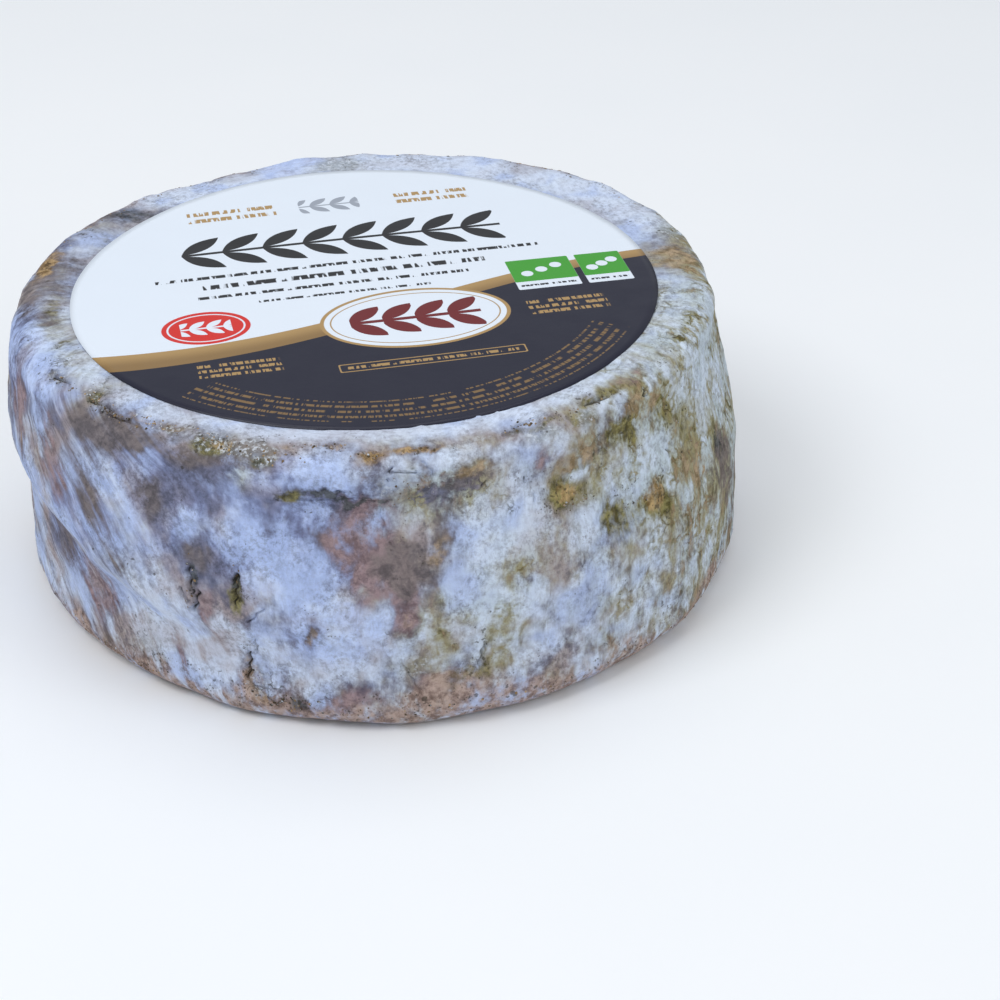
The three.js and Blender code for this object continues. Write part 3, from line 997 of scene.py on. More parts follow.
class Effects:
    """The node groups that more than one finish or motif uses, each built once."""

    PRINT_EDGE = Fade(-0.08, 0.08)
    LEAF_EDGE = Fade(-0.06, 0.06)
    SPECK_EDGE = Fade(-0.04, 0.06)
    DASH_EDGE = Fade(-0.05, 0.05)
    PATCH_EDGE = Fade(0.12, 0.85)
    COARSE_WEIGHT = 1.4
    PATCH_SWING = 2.0
    SPECK_WOBBLE = 1.3
    SPECK_CLUSTERS = 9.0
    CLUSTER_EDGE = Fade(0.5, 0.72, 0.0, 0.6)
    CROWD_WEIGHT = 0.6
    CRACK_WOBBLE = 5.0
    CRACK_WOBBLE_SCALE = 0.3
    CRACK_START = 0.01
    CRACK_REGIONS = Cloud(9.0, 3, 0.6)
    CRACK_REGION_EDGE = Fade(0.64, 0.72)
    CRACK_CROWD_WEIGHT = 0.16
    WORD_LENGTH = 6.0
    WORD_LEVEL = 5.0
    ROW_SHIFT = 7.31
    STROKES = Cloud(1.0, 1, 0.5)
    STROKE_EDGE = Fade(0.44, 0.5)
    WORD_EDGE = Fade(0.36, 0.4)
    LEAF_RISE = 0.7

    def __init__(self) -> None:
        """Builds every group."""
        self.ragged_patch = self._ragged_patch()
        self.specks = self._specks()
        self.cracks = self._cracks()
        self.oval = self._oval()
        self.bar = self._bar()
        self.dash_rows = self._dash_rows()
        self.leaf_row = self._leaf_row()

    @staticmethod
    def _start(name: str, inputs: dict[str, float]) -> tuple[NodeSheet, list[Socket]]:
        """Begins a group that makes a mask from a vector and some numbers.

        Args:
            name: The group's name.
            inputs: The numbers that the group takes beside its vector, with their defaults.

        Returns:
            The sheet to build on, then the sockets of the vector and the numbers.
        """
        tree = bpy.data.node_groups.new(name, "ShaderNodeTree")
        tree.interface.new_socket("Vector", in_out="INPUT", socket_type="NodeSocketVector")
        for label, default in inputs.items():
            socket = tree.interface.new_socket(label, in_out="INPUT", socket_type="NodeSocketFloat")
            socket.default_value = default
        tree.interface.new_socket("Mask", in_out="OUTPUT", socket_type="NodeSocketFloat")
        sheet = NodeSheet(tree)
        given = sheet.place("NodeGroupInput")
        return sheet, [given.outputs[label] for label in ("Vector", *inputs)]

    @staticmethod
    def _end(sheet: NodeSheet, mask: Socket) -> bpy.types.NodeTree:
        """Sends a group's mask out and returns the group."""
        sheet.place("NodeGroupOutput", {"Mask": mask})
        return sheet.tree

    def _ragged_patch(self) -> bpy.types.NodeTree:
        """A patch of growth whose soft edge is broken up by finer growth."""
        inputs = {"Patch": 0.0, "Fine": 0.5, "Size": 9.0, "Ragged": 0.8, "Crumbs": 0.3}
        sheet, (vector, patch, fine, size, ragged, crumbs) = self._start("Ragged Patch", inputs)
        coarse = sheet.minus(sheet.cloud(vector, Cloud(size, 3, 0.62, 0.4)), 0.5)
        finer = sheet.times(sheet.minus(fine, 0.5), crumbs)
        broken = sheet.weighed(coarse, self.COARSE_WEIGHT, finer)
        swing = sheet.weighed(sheet.times(broken, ragged), self.PATCH_SWING, 1.0)
        return self._end(sheet, sheet.fade(sheet.times(patch, swing), self.PATCH_EDGE))

    def _specks(self) -> bpy.types.NodeTree:
        """Small specks of many sizes that come in clusters, more of them where they are crowded."""
        inputs = {"Size": 1.0, "Crowd": 0.0, "Reach": 0.8}
        sheet, (vector, size, crowd, reach) = self._start("Specks", inputs)
        scale = sheet.math("DIVIDE", 1.0, size)
        finer = sheet.times(scale, self.SPECK_WOBBLE)
        grains = {"Vector": vector, "Scale": finer, "Detail": 2.0}
        wobble = sheet.place("ShaderNodeTexNoise", grains).outputs[1]
        moved = sheet.vector("ADD", vector, sheet.scaled(wobble, size))
        cells = sheet.place("ShaderNodeTexVoronoi", {"Vector": moved, "Scale": scale})
        luck = sheet.place("ShaderNodeSeparateColor", {0: cells.outputs["Color"]}).outputs[0]
        clusters = sheet.cloud(vector, Cloud(sheet.times(size, self.SPECK_CLUSTERS), 3, 0.6))
        clustered = sheet.fade(clusters, self.CLUSTER_EDGE)
        share = sheet.weighed(crowd, self.CROWD_WEIGHT, clustered)
        radius = sheet.times(sheet.minus(share, luck), reach)
        inside = sheet.minus(radius, cells.outputs["Distance"])
        return self._end(sheet, sheet.fade(inside, self.SPECK_EDGE))

    def _cracks(self) -> bpy.types.NodeTree:
        """Fine branching cracks in broken stretches."""
        inputs = {"Size": 6.0, "Crowd": 0.0, "Width": 0.045}
        sheet, (vector, size, crowd, width) = self._start("Fine Cracks", inputs)
        waves = {"Vector": vector, "Scale": self.CRACK_WOBBLE_SCALE, "Detail": 3.0}
        wobble = sheet.place("ShaderNodeTexNoise", waves).outputs[1]
        bent = sheet.vector("ADD", vector, sheet.scaled(wobble, self.CRACK_WOBBLE))
        net = {"Vector": bent, "Scale": sheet.math("DIVIDE", 1.0, size)}
        cells = sheet.place("ShaderNodeTexVoronoi", net, feature="DISTANCE_TO_EDGE")
        open_cell = sheet.fade(cells.outputs["Distance"], Fade(self.CRACK_START, width))
        line = sheet.minus(1.0, open_cell)
        regions = sheet.cloud(vector, self.CRACK_REGIONS)
        region = sheet.weighed(crowd, self.CRACK_CROWD_WEIGHT, regions)
        shown = sheet.fade(region, self.CRACK_REGION_EDGE)
        return self._end(sheet, sheet.times(line, shown))

    def _oval(self) -> bpy.types.NodeTree:
        """A printed oval."""
        inputs = {"Across": 0.0, "Up": 0.0, "Half Width": 10.0, "Half Height": 5.0}
        sheet, (vector, across, up, half_width, half_height) = self._start("Printed Oval", inputs)
        x, y = sheet.parted(vector)
        along = sheet.math("DIVIDE", sheet.minus(x, across), half_width)
        over = sheet.math("DIVIDE", sheet.minus(y, up), half_height)
        squared = sheet.weighed(along, along, sheet.times(over, over))
        share = sheet.minus(1.0, sheet.math("SQRT", squared))
        return self._end(sheet, sheet.fade(sheet.times(share, half_height), self.PRINT_EDGE))

    def _bar(self) -> bpy.types.NodeTree:
        """A printed bar or box with rounded corners."""
        inputs = {"Across": 0.0, "Up": 0.0, "Half Width": 10.0, "Half Height": 2.0, "Corner": 0.5}
        sheet, (vector, across, up, half_width, half_height, corner) = self._start("Printed Bar", inputs)
        x, y = sheet.parted(vector)
        outside = []
        for place, middle, half in ((x, across, half_width), (y, up, half_height)):
            off = sheet.math("ABSOLUTE", sheet.minus(place, middle))
            core = sheet.minus(half, corner)
            outside.append(sheet.math("MAXIMUM", sheet.minus(off, core), 0.0))
        wide, high = outside
        squared = sheet.weighed(wide, wide, sheet.times(high, high))
        inside = sheet.minus(corner, sheet.math("SQRT", squared))
        return self._end(sheet, sheet.fade(inside, self.PRINT_EDGE))

    def _dash_rows(self) -> bpy.types.NodeTree:
        """Rows of short uneven dashes in word-like runs, such as fine print seen from afar."""
        inputs = {"Pitch": 2.0, "Dash": 0.8, "Thickness": 0.6}
        sheet, (vector, pitch, dash, thickness) = self._start("Dash Rows", inputs)
        x, y = sheet.parted(vector)
        rows = sheet.math("DIVIDE", y, pitch)
        row = sheet.math("FLOOR", rows)
        within = sheet.minus(sheet.minus(rows, row), 0.5)
        shift = sheet.times(row, self.ROW_SHIFT)
        broken = sheet.weighed(rows, 0.5, shift)
        strokes = sheet.joined(sheet.math("DIVIDE", x, dash), broken)
        words = sheet.joined(sheet.math("DIVIDE", x, self.WORD_LENGTH), shift, self.WORD_LEVEL)
        stroke = sheet.fade(sheet.cloud(strokes, self.STROKES), self.STROKE_EDGE)
        word = sheet.fade(sheet.cloud(words, self.STROKES), self.WORD_EDGE)
        half = sheet.times(thickness, 0.5)
        inside = sheet.minus(half, sheet.math("ABSOLUTE", within))
        band = sheet.fade(inside, self.DASH_EDGE)
        return self._end(sheet, sheet.times(band, sheet.times(stroke, word)))

    def _leaf_row(self) -> bpy.types.NodeTree:
        """A stem with pairs of slanting leaves at an even pitch."""
        inputs = {"Pitch": 9.0, "Leaf Length": 5.0, "Leaf Width": 1.6, "Slant": 0.7, "Stem": 0.4}
        sheet, (vector, pitch, length, width, slant, stem) = self._start("Leaf Row", inputs)
        x, y = sheet.parted(vector)
        share = sheet.math("DIVIDE", x, pitch)
        part = sheet.minus(share, sheet.math("FLOOR", share))
        half = sheet.times(pitch, 0.5)
        across = sheet.minus(sheet.times(part, pitch), half)
        off_stem = sheet.math("ABSOLUTE", y)
        up = sheet.minus(off_stem, sheet.times(length, self.LEAF_RISE))
        cosine = sheet.math("COSINE", slant)
        sine = sheet.math("SINE", slant)
        along = sheet.weighed(across, cosine, sheet.times(up, sine))
        level = sheet.times(up, cosine)
        over = sheet.minus(level, sheet.times(across, sine))
        reach = sheet.math("DIVIDE", along, length)
        swell = sheet.minus(1.0, sheet.times(reach, reach))
        widest = sheet.times(swell, width)
        inside = sheet.minus(widest, sheet.math("ABSOLUTE", over))
        leaves = sheet.fade(inside, self.LEAF_EDGE)
        core = sheet.fade(sheet.minus(stem, off_stem), self.LEAF_EDGE)
        return self._end(sheet, sheet.math("MAXIMUM", leaves, core))


class Coat:
    """A new material with a Principled shader, and the sheet for its nodes."""

    def __init__(self, name: str) -> None:
        """Makes the empty material."""
        self.material = bpy.data.materials.new(name)
        self.material.use_nodes = True
        self.material.node_tree.nodes.clear()
        self.sheet = NodeSheet(self.material.node_tree)
        self.shader = self.sheet.place("ShaderNodeBsdfPrincipled")
        self.sheet.place("ShaderNodeOutputMaterial", {"Surface": self.shader.outputs[0]})

    def paint(self, colour: Feed, roughness: Feed, gloss: float = 0.5) -> None:
        """Gives the coat its colour, its roughness and how much it mirrors."""
        values = {"Base Color": colour, "Roughness": roughness, "Specular IOR Level": gloss}
        for name, source in values.items():
            self.sheet.feed(self.shader.inputs[name], source)

    def emboss(self, height: Socket, distance: float, strength: float = 1.0) -> None:
        """Gives the coat fine relief.

        Args:
            height: The relief, from 0 to 1.
            distance: What a height of 1 stands for, in millimetres.
            strength: How strongly the relief shows.
        """
        inputs = {"Strength": strength, "Distance": distance * MM, "Height": height}
        bump = self.sheet.place("ShaderNodeBump", inputs)
        self.sheet.feed(self.shader.inputs["Normal"], bump.outputs[0])


@dataclass(frozen=True)
class Crust:
    """One kind of bare crust under the mould: its two tones, and how its patches break up."""

    dark: tuple
    light: tuple
    lump: float
    crumbs: float
    cover: float = 1.0
    edge: float = 1.4


@dataclass(frozen=True)
class Layer:
    """One layer of the mould's uneven thickness, and how strong it is on the bluish and greenish sides."""

    cloud: Cloud
    blue_weight: float
    green_weight: float


@dataclass(frozen=True)
class RindCanvas:
    """What the layers of the rind's finish share: the sheet, the effects and the common fields."""

    sheet: NodeSheet
    effects: Effects
    place: Socket
    flow: Socket
    ring: Socket
    crumbly: Socket
    sage: Socket
    brittle: Socket
    hair: Socket
    fuzz: Socket
    fine: Socket

    def patch(self, mould: Mould, **settings: float) -> Socket:
        """Gives the ragged mask of one growth."""
        amount = self.sheet.reading(mould.value)
        ragged = self.effects.ragged_patch
        return self.sheet.effect(ragged, Vector=self.place, Patch=amount, Fine=self.fine, **settings)


@dataclass(frozen=True)
class RindFinish:
    """The mould rind: a veil of pale mould, thick or thin, over crust of several colours."""

    thick: tuple = linear(212, 222, 242)
    thin: tuple = linear(146, 150, 170)
    thick_azure: tuple = linear(196, 211, 247)
    thin_azure: tuple = linear(134, 146, 188)
    thick_sage: tuple = linear(212, 223, 237)
    thin_sage: tuple = linear(160, 159, 132)
    warm_dust: tuple = linear(170, 152, 146)
    olive_dust: tuple = linear(152, 142, 96)
    cool_dust: tuple = linear(176, 194, 236)
    pale_dust: tuple = linear(190, 202, 208)
    gap: tuple = linear(104, 102, 106)
    dark_crust: tuple = linear(88, 87, 108)
    brown_crust: tuple = linear(112, 100, 98)
    sage_crust: tuple = linear(104, 96, 54)
    tan_crust: tuple = linear(170, 146, 112)
    lace_ground: tuple = linear(108, 108, 94)
    tuft: tuple = linear(222, 228, 238)
    # Dark specks and fine cracks, and also the painted shade inside the tears
    speck_and_tear_shade: tuple = linear(62, 58, 48)
    foot_dark: tuple = linear(128, 106, 96)
    foot_light: tuple = linear(192, 168, 156)
    roughness: float = 0.9
    gloss: float = 0.2
    layers: tuple[Layer, ...] = (
        Layer(Cloud(17.0, 3, 0.6, 0.6, (1.0, 1.0, 1.0)), 0.42, 0.4),
        Layer(Cloud(8.0, 3, 0.55, 0.6, (1.0, 1.0, 0.8)), 1.15, 1.1),
        Layer(Cloud(4.2, 3, 0.55, 0.5, (1.0, 1.0, 0.7)), 1.05, 1.2),
        Layer(Cloud(2.3, 2, 0.5, 0.4, (1.0, 1.0, 0.8)), 0.55, 0.7),
    )
    hair_weight: float = 0.2
    fuzz_weight: float = 0.5
    sage_restlessness: float = 1.15
    crusts: tuple[tuple[Mould, Crust], ...] = (
        (Mould.SLATE, Crust(linear(92, 96, 118), linear(122, 128, 158), 9.0, 0.3, 0.8, 1.1)),
        (Mould.RUSSET, Crust(linear(122, 102, 106), linear(164, 140, 142), 8.0, 0.15, 0.9, 1.25)),
        (Mould.TAUPE, Crust(linear(98, 91, 92), linear(128, 118, 116), 11.0, 0.2, 0.85, 1.15)),
        (Mould.TAN, Crust(linear(134, 114, 84), linear(190, 166, 136), 4.5, 1.5, 0.85, 1.2)),
        (Mould.OLIVE, Crust(linear(82, 76, 34), linear(148, 140, 86), 6.0, 1.4, 0.85)),
        (Mould.OCHRE, Crust(linear(118, 92, 54), linear(194, 162, 116), 5.0, 2.2, 0.85)),
        (Mould.SOOT, Crust(linear(46, 48, 48), linear(92, 96, 98), 2.6, 3.2, 0.85)),
    )
    crust_shift: tuple[float, float, float] = (31.7, 17.3, 5.9)
    fuzz_cloud: Cloud = Cloud(1.5, 4, 0.74)
    fine_cloud: Cloud = Cloud(1.9, 4, 0.7)
    hair_upward: Cloud = Cloud(1.4, 4, 0.74, 1.2, (1.0, 1.0, 0.34))
    hair_around: Cloud = Cloud(0.9, 3, 0.67, 0.0, (0.16, 0.16, 1.0))
    crisp_stretches: Cloud = Cloud(14, 3, 0.6)
    crisp_amount: Fade = Fade(0.4, 0.62, 0.35, 1.2)
    sage_border: tuple[tuple[Cloud, float], ...] = ((Cloud(26, 3, 0.62), 1.3), (Cloud(6, 3, 0.62), 1.2))
    flake_size: float = 3.6
    flake_width: float = 0.17
    flake_veil: float = 0.35
    veil_hides: Fade = Fade(0.1, 0.7)
    # How strongly painted shade darkens the inside of the tears
    tear_painted_shade: Fade = Fade(0.45, 0.95, 0.0, 0.9)
    lump_cloud: Cloud = Cloud(3.4, 4, 0.67)
    lump_relief: float = 0.8
    fuzz_relief: float = 0.5
    flake_relief: float = 0.3
    relief: float = 1.0
    crust_drift: Cloud = Cloud(24, 3, 0.55)
    crust_turn: Fade = Fade(0.42, 0.6)
    crust_streaks: Cloud = Cloud(2.2, 4, 0.65, 0.8, (1.0, 1.0, 0.3))
    streak_edge: Fade = Fade(0.4, 0.6)
    sage_on_crust: float = 0.9
    crust_mottle: Cloud = Cloud(3.4, 4, 0.67, 0.4)
    mottle_edge: Fade = Fade(0.38, 0.62)
    crust_light: Fade = Fade(0.3, 0.7, 0.8, 1.2)
    hair_tone: float = 0.25
    fuzz_tone: float = 0.75
    full_veil: Fade = Fade(0.35, 1.15)
    azure_size: float = 18.0
    azure_ragged: float = 0.9
    dust_drift: Cloud = Cloud(13, 2, 0.45)
    warm_shows: Fade = Fade(0.48, 0.62, 0.0, 0.75)
    warm_through_veil: Fade = Fade(0.5, 1.2, 1.0, 0.45)
    warm_where_clean: Fade = Fade(0.0, 1.0, 1.0, 0.45)
    pale_shows: Fade = Fade(0.36, 0.5, 0.6, 0.0)
    gap_cloud: Cloud = Cloud(11, 3, 0.6)
    gap_amount: Fade = Fade(0.35, 0.65, 0.25, 0.55)
    gap_shows: Fade = Fade(0.36, 0.56, 1.0, 0.0)
    mould_light: Fade = Fade(0.45, 0.68, 1.0, 1.07)
    lace_size: float = 5.0
    lace_crumbs: float = 1.0
    lace_cover: float = 0.45
    tuft_cloud: Cloud = Cloud(1.1, 3, 0.6)
    tuft_edge: Fade = Fade(0.48, 0.66)
    tuft_cover: float = 0.65
    fine_speck: float = 0.8
    coarse_speck: float = 1.9
    coarse_reach: float = 0.6
    speck_cover: float = 0.65
    crack_size: float = 5.0
    crack_cover: float = 0.6
    foot_crumbs: float = 0.5
    foot_mottle: Cloud = Cloud(3.0, 4, 0.7)
    foot_mottle_edge: Fade = Fade(0.36, 0.62)
    foot_through_veil: Fade = Fade(0.45, 1.1, 0.9, 0.15)

    def make(self, effects: Effects) -> bpy.types.Material:
        """Builds the material."""
        coat = Coat("mould_rind")
        sheet = coat.sheet
        canvas = self._canvas(sheet, effects)
        net = {"Size": self.flake_size, "Width": self.flake_width}
        flakes = sheet.effect(effects.cracks, Vector=canvas.place, Crowd=canvas.brittle, **net)
        lifted = sheet.times(flakes, canvas.brittle)
        veil = sheet.weighed(lifted, -self.flake_veil, self._veil(canvas))
        mould = self._mould(canvas, veil)
        colour = sheet.blend(sheet.fade(veil, self.veil_hides), self._crust(canvas), mould)
        colour = self._foot(canvas, colour, veil)
        colour = self._lace(canvas, colour)
        colour = self._specks(canvas, colour)
        # Painted shade: the inside of the tears' grooves is darkened towards the speck colour
        tear = sheet.reading("tear")
        colour = sheet.blend(sheet.fade(tear, self.tear_painted_shade), colour, self.speck_and_tear_shade)
        coat.paint(colour, self.roughness, self.gloss)
        lumps = sheet.times(sheet.cloud(canvas.place, self.lump_cloud), self.lump_relief)
        ground = sheet.weighed(canvas.fuzz, self.fuzz_relief, lumps)
        coat.emboss(sheet.weighed(flakes, -self.flake_relief, ground), self.relief)
        return coat.material

    def _canvas(self, sheet: NodeSheet, effects: Effects) -> RindCanvas:
        """Lays out the fields that the layers share."""
        place = sheet.millimetres()
        flow = sheet.reading("flow", "Vector")
        ring = sheet.reading("ring")
        crumbly = sheet.reading("crumbly")
        sage = self._sage(sheet, place)
        brittle = sheet.math("MAXIMUM", sage, crumbly)
        stretches = sheet.fade(sheet.cloud(place, self.crisp_stretches), self.crisp_amount)
        crisp = sheet.math("MAXIMUM", stretches, brittle)
        fuzz = sheet.minus(sheet.cloud(place, self.fuzz_cloud), 0.5)
        upward = sheet.cloud(flow, self.hair_upward)
        around = sheet.cloud(flow, self.hair_around)
        return RindCanvas(
            sheet=sheet,
            effects=effects,
            place=place,
            flow=flow,
            ring=ring,
            crumbly=crumbly,
            sage=sage,
            brittle=brittle,
            hair=sheet.blend(ring, upward, around),
            fuzz=sheet.weighed(fuzz, crisp, 0.5),
            fine=sheet.cloud(flow, self.fine_cloud),
        )

    def _sage(self, sheet: NodeSheet, place: Socket) -> Socket:
        """Says where the growth turns from bluish to greenish, with a wandering, speckled border."""
        wander, dapple = (
            sheet.weighed(sheet.cloud(place, cloud), weight, -weight / 2)
            for cloud, weight in self.sage_border
        )
        amount = sheet.math("ADD", sheet.reading(Mould.SAGE.value), sheet.math("ADD", wander, dapple))
        return sheet.fade(amount, Fade(0.0, 1.0))

    def _crust(self, canvas: RindCanvas) -> Socket:
        """Colours the bare crust, kind by kind, each mottled between its two tones."""
        sheet = canvas.sheet
        tone = sheet.fade(sheet.cloud(canvas.flow, self.crust_drift), self.crust_turn)
        colour = sheet.blend(tone, self.dark_crust, self.brown_crust)
        streaks = sheet.fade(sheet.cloud(canvas.flow, self.crust_streaks), self.streak_edge)
        greenish = sheet.blend(streaks, self.sage_crust, self.tan_crust)
        colour = sheet.blend(sheet.times(canvas.sage, self.sage_on_crust), colour, greenish)
        mottle = sheet.fade(sheet.cloud(canvas.place, self.crust_mottle), self.mottle_edge)
        for number, (mould, crust) in enumerate(self.crusts):
            shift = tuple(number * step for step in self.crust_shift)
            mask = sheet.effect(
                canvas.effects.ragged_patch,
                Vector=sheet.vector("ADD", canvas.flow, shift),
                Patch=sheet.times(sheet.reading(mould.value), crust.edge),
                Fine=canvas.fine,
                Size=crust.lump,
                Crumbs=crust.crumbs,
            )
            mottled = sheet.blend(mottle, crust.dark, crust.light)
            colour = sheet.blend(sheet.times(mask, crust.cover), colour, mottled)
        return sheet.shaded(colour, sheet.fade(canvas.fuzz, self.crust_light))

    def _veil(self, canvas: RindCanvas) -> Socket:
        """Gives the thickness of the mould: 0 is bare crust and 1 a full pale bloom."""
        sheet = canvas.sheet
        swing = sheet.times(sheet.minus(canvas.hair, 0.5), self.hair_weight)
        fuzz = sheet.minus(canvas.fuzz, 0.5)
        swing = sheet.weighed(fuzz, self.fuzz_weight, swing)
        for layer in self.layers:
            cloud = sheet.minus(sheet.cloud(canvas.flow, layer.cloud), 0.5)
            weight = sheet.fade(canvas.sage, Fade(0, 1, layer.blue_weight, layer.green_weight))
            swing = sheet.weighed(cloud, weight, swing)
        restless = sheet.fade(canvas.sage, Fade(0, 1, 1.0, self.sage_restlessness))
        swing = sheet.times(swing, restless)
        return sheet.weighed(swing, sheet.reading("swing"), sheet.reading("cover"))

    def _mould(self, canvas: RindCanvas, veil: Socket) -> Socket:
        """Colours the mould by its thickness and side, with warm crust in its finest gaps."""
        sheet = canvas.sheet
        azure = canvas.patch(Mould.AZURE, Size=self.azure_size, Ragged=self.azure_ragged)
        full = sheet.fade(veil, self.full_veil)
        thin = sheet.blend(azure, self.thin, self.thin_azure)
        blue = sheet.blend(full, thin, sheet.blend(azure, self.thick, self.thick_azure))
        green = sheet.blend(full, self.thin_sage, self.thick_sage)
        colour = self._dusted(canvas, sheet.blend(canvas.sage, blue, green), veil, azure)
        fuzz = sheet.times(canvas.fuzz, self.fuzz_tone)
        tone = sheet.weighed(canvas.hair, self.hair_tone, fuzz)
        amount = sheet.fade(sheet.cloud(canvas.place, self.gap_cloud), self.gap_amount)
        gap = sheet.times(sheet.fade(tone, self.gap_shows), amount)
        return sheet.shaded(sheet.blend(gap, colour, self.gap), sheet.fade(tone, self.mould_light))

    def _dusted(self, canvas: RindCanvas, colour: Socket, veil: Socket, azure: Socket) -> Socket:
        """Dusts the mould in drifts: warm or olive where it is thin, cool or pale in between."""
        sheet = canvas.sheet
        drift = sheet.cloud(canvas.place, self.dust_drift)
        thinner = sheet.fade(veil, self.warm_through_veil)
        warm = sheet.times(sheet.fade(drift, self.warm_shows), thinner)
        clean = sheet.math("MAXIMUM", canvas.ring, azure)
        warm = sheet.times(warm, sheet.fade(clean, self.warm_where_clean))
        colour = sheet.blend(warm, colour, sheet.blend(canvas.sage, self.warm_dust, self.olive_dust))
        pale = sheet.blend(canvas.sage, self.cool_dust, self.pale_dust)
        return sheet.blend(sheet.fade(drift, self.pale_shows), colour, pale)

    def _lace(self, canvas: RindCanvas, colour: Socket) -> Socket:
        """Scatters small white tufts over darker crumbly crust."""
        sheet = canvas.sheet
        mask = canvas.patch(Mould.LACE, Size=self.lace_size, Crumbs=self.lace_crumbs)
        colour = sheet.blend(sheet.times(mask, self.lace_cover), colour, self.lace_ground)
        tufts = sheet.fade(sheet.cloud(canvas.place, self.tuft_cloud), self.tuft_edge)
        shown = sheet.times(sheet.times(tufts, mask), self.tuft_cover)
        return sheet.blend(shown, colour, self.tuft)

    def _specks(self, canvas: RindCanvas, colour: Socket) -> Socket:
        """Adds clusters of dark specks, few on the open side and many where the crust is crumbly."""
        sheet, effects = canvas.sheet, canvas.effects
        given = {"Vector": canvas.place, "Crowd": canvas.crumbly}
        fine = sheet.effect(effects.specks, Size=self.fine_speck, **given)
        coarse = sheet.effect(effects.specks, Size=self.coarse_speck, Reach=self.coarse_reach, **given)
        cracks = sheet.effect(effects.cracks, Size=self.crack_size, **given)
        both = sheet.math("MAXIMUM", fine, coarse)
        colour = sheet.blend(sheet.times(both, self.speck_cover), colour, self.speck_and_tear_shade)
        return sheet.blend(sheet.times(cracks, self.crack_cover), colour, self.speck_and_tear_shade)

    def _foot(self, canvas: RindCanvas, colour: Socket, veil: Socket) -> Socket:
        """Colours the bare band along the foot, mottled by what mould is left there."""
        sheet = canvas.sheet
        mask = canvas.patch(Mould.FOOT, Crumbs=self.foot_crumbs)
        mottle = sheet.fade(sheet.cloud(canvas.place, self.foot_mottle), self.foot_mottle_edge)
        tone = sheet.blend(mottle, self.foot_dark, self.foot_light)
        shown = sheet.times(mask, sheet.fade(veil, self.foot_through_veil))
        return sheet.blend(shown, colour, tone)


@dataclass(frozen=True)
class CrumbFinish:
    """Loose crumbs of crust: dark, brown, ochre or dusted with mould, crumb by crumb."""

    dark: tuple = linear(70, 60, 46)
    brown: tuple = linear(122, 102, 78)
    ochre: tuple = linear(182, 152, 108)
    dusted: tuple = linear(196, 202, 212)
    roughness: float = 0.9
    gloss: float = 0.2
    to_brown: Fade = Fade(0.0, 0.35)
    to_ochre: Fade = Fade(0.3, 0.7)
    dust_cloud: Cloud = Cloud(0.9, 3, 0.6)
    dust_on_pale: Fade = Fade(0.6, 1.0, 0.0, 0.4)
    dust_edge: Fade = Fade(0.52, 0.72)

    def make(self) -> bpy.types.Material:
        """Builds the material."""
        coat = Coat("crust_crumbs")
        sheet = coat.sheet
        tint = sheet.reading("tint")
        colour = sheet.blend(sheet.fade(tint, self.to_brown), self.dark, self.brown)
        colour = sheet.blend(sheet.fade(tint, self.to_ochre), colour, self.ochre)
        dust = sheet.cloud(sheet.millimetres(), self.dust_cloud)
        dust = sheet.math("ADD", dust, sheet.fade(tint, self.dust_on_pale))
        colour = sheet.blend(sheet.fade(dust, self.dust_edge), colour, self.dusted)
        coat.paint(colour, self.roughness, self.gloss)
        return coat.material


class Ink(Enum):
    """The paper's white and the inks printed on it, as linear colours."""

    WHITE = linear(230, 237, 247)
    NAVY = linear(29, 29, 48)
    GOLD = linear(176, 142, 92)
    OLD_GOLD = linear(142, 112, 70)
    BLACK = linear(34, 33, 36)
    GREY = linear(158, 164, 176)
    GREEN = linear(66, 158, 48)
    RED = linear(214, 44, 36)
    WINE = linear(112, 30, 34)


class Press:
    """Prints motif after motif on a page, and keeps the colour so far."""

    def __init__(self, sheet: NodeSheet, effects: Effects, page: Socket, colour: Socket) -> None:
        """Takes the page's coordinates and the colour of its plain fields."""
        self.sheet = sheet
        self.effects = effects
        self.page = page
        self.colour = colour

    def lay(self, mask: Socket, ink: Ink) -> None:
        """Prints one ink through a mask."""
        self.colour = self.sheet.blend(mask, self.colour, ink.value)

    def lay_part(
        self,
        vector: Socket,
        pattern: Socket,
        ink: Ink,
        share: float = 1.0,
        **window: float,
    ) -> None:
        """Prints the part of a pattern that shows through a window with rounded corners.

        Args:
            vector: The coordinates of the window.
            pattern: The pattern's mask.
            ink: The ink.
            share: How strongly it prints.
            window: The window's place and size.
        """
        mask = self.sheet.times(pattern, self.sheet.effect(self.effects.bar, Vector=vector, **window))
        self.lay(mask if share == 1.0 else self.sheet.times(mask, share), ink)


@dataclass(frozen=True)
class Oval:
    """A printed oval."""

    across: float
    up: float
    half_width: float
    half_height: float
    ink: Ink

    @staticmethod
    def shape(effects: Effects) -> bpy.types.NodeTree:
        """Names the effect that makes the shape."""
        return effects.oval

    def print_on(self, press: Press) -> None:
        """Prints the shape."""
        mask = press.sheet.effect(
            self.shape(press.effects),
            Vector=press.page,
            Across=self.across,
            Up=self.up,
            Half_Width=self.half_width,
            Half_Height=self.half_height,
        )
        press.lay(mask, self.ink)


@dataclass(frozen=True)
class Box(Oval):
    """A printed box with slightly rounded corners."""

    @staticmethod
    def shape(effects: Effects) -> bpy.types.NodeTree:
        """Names the effect that makes the shape."""
        return effects.bar


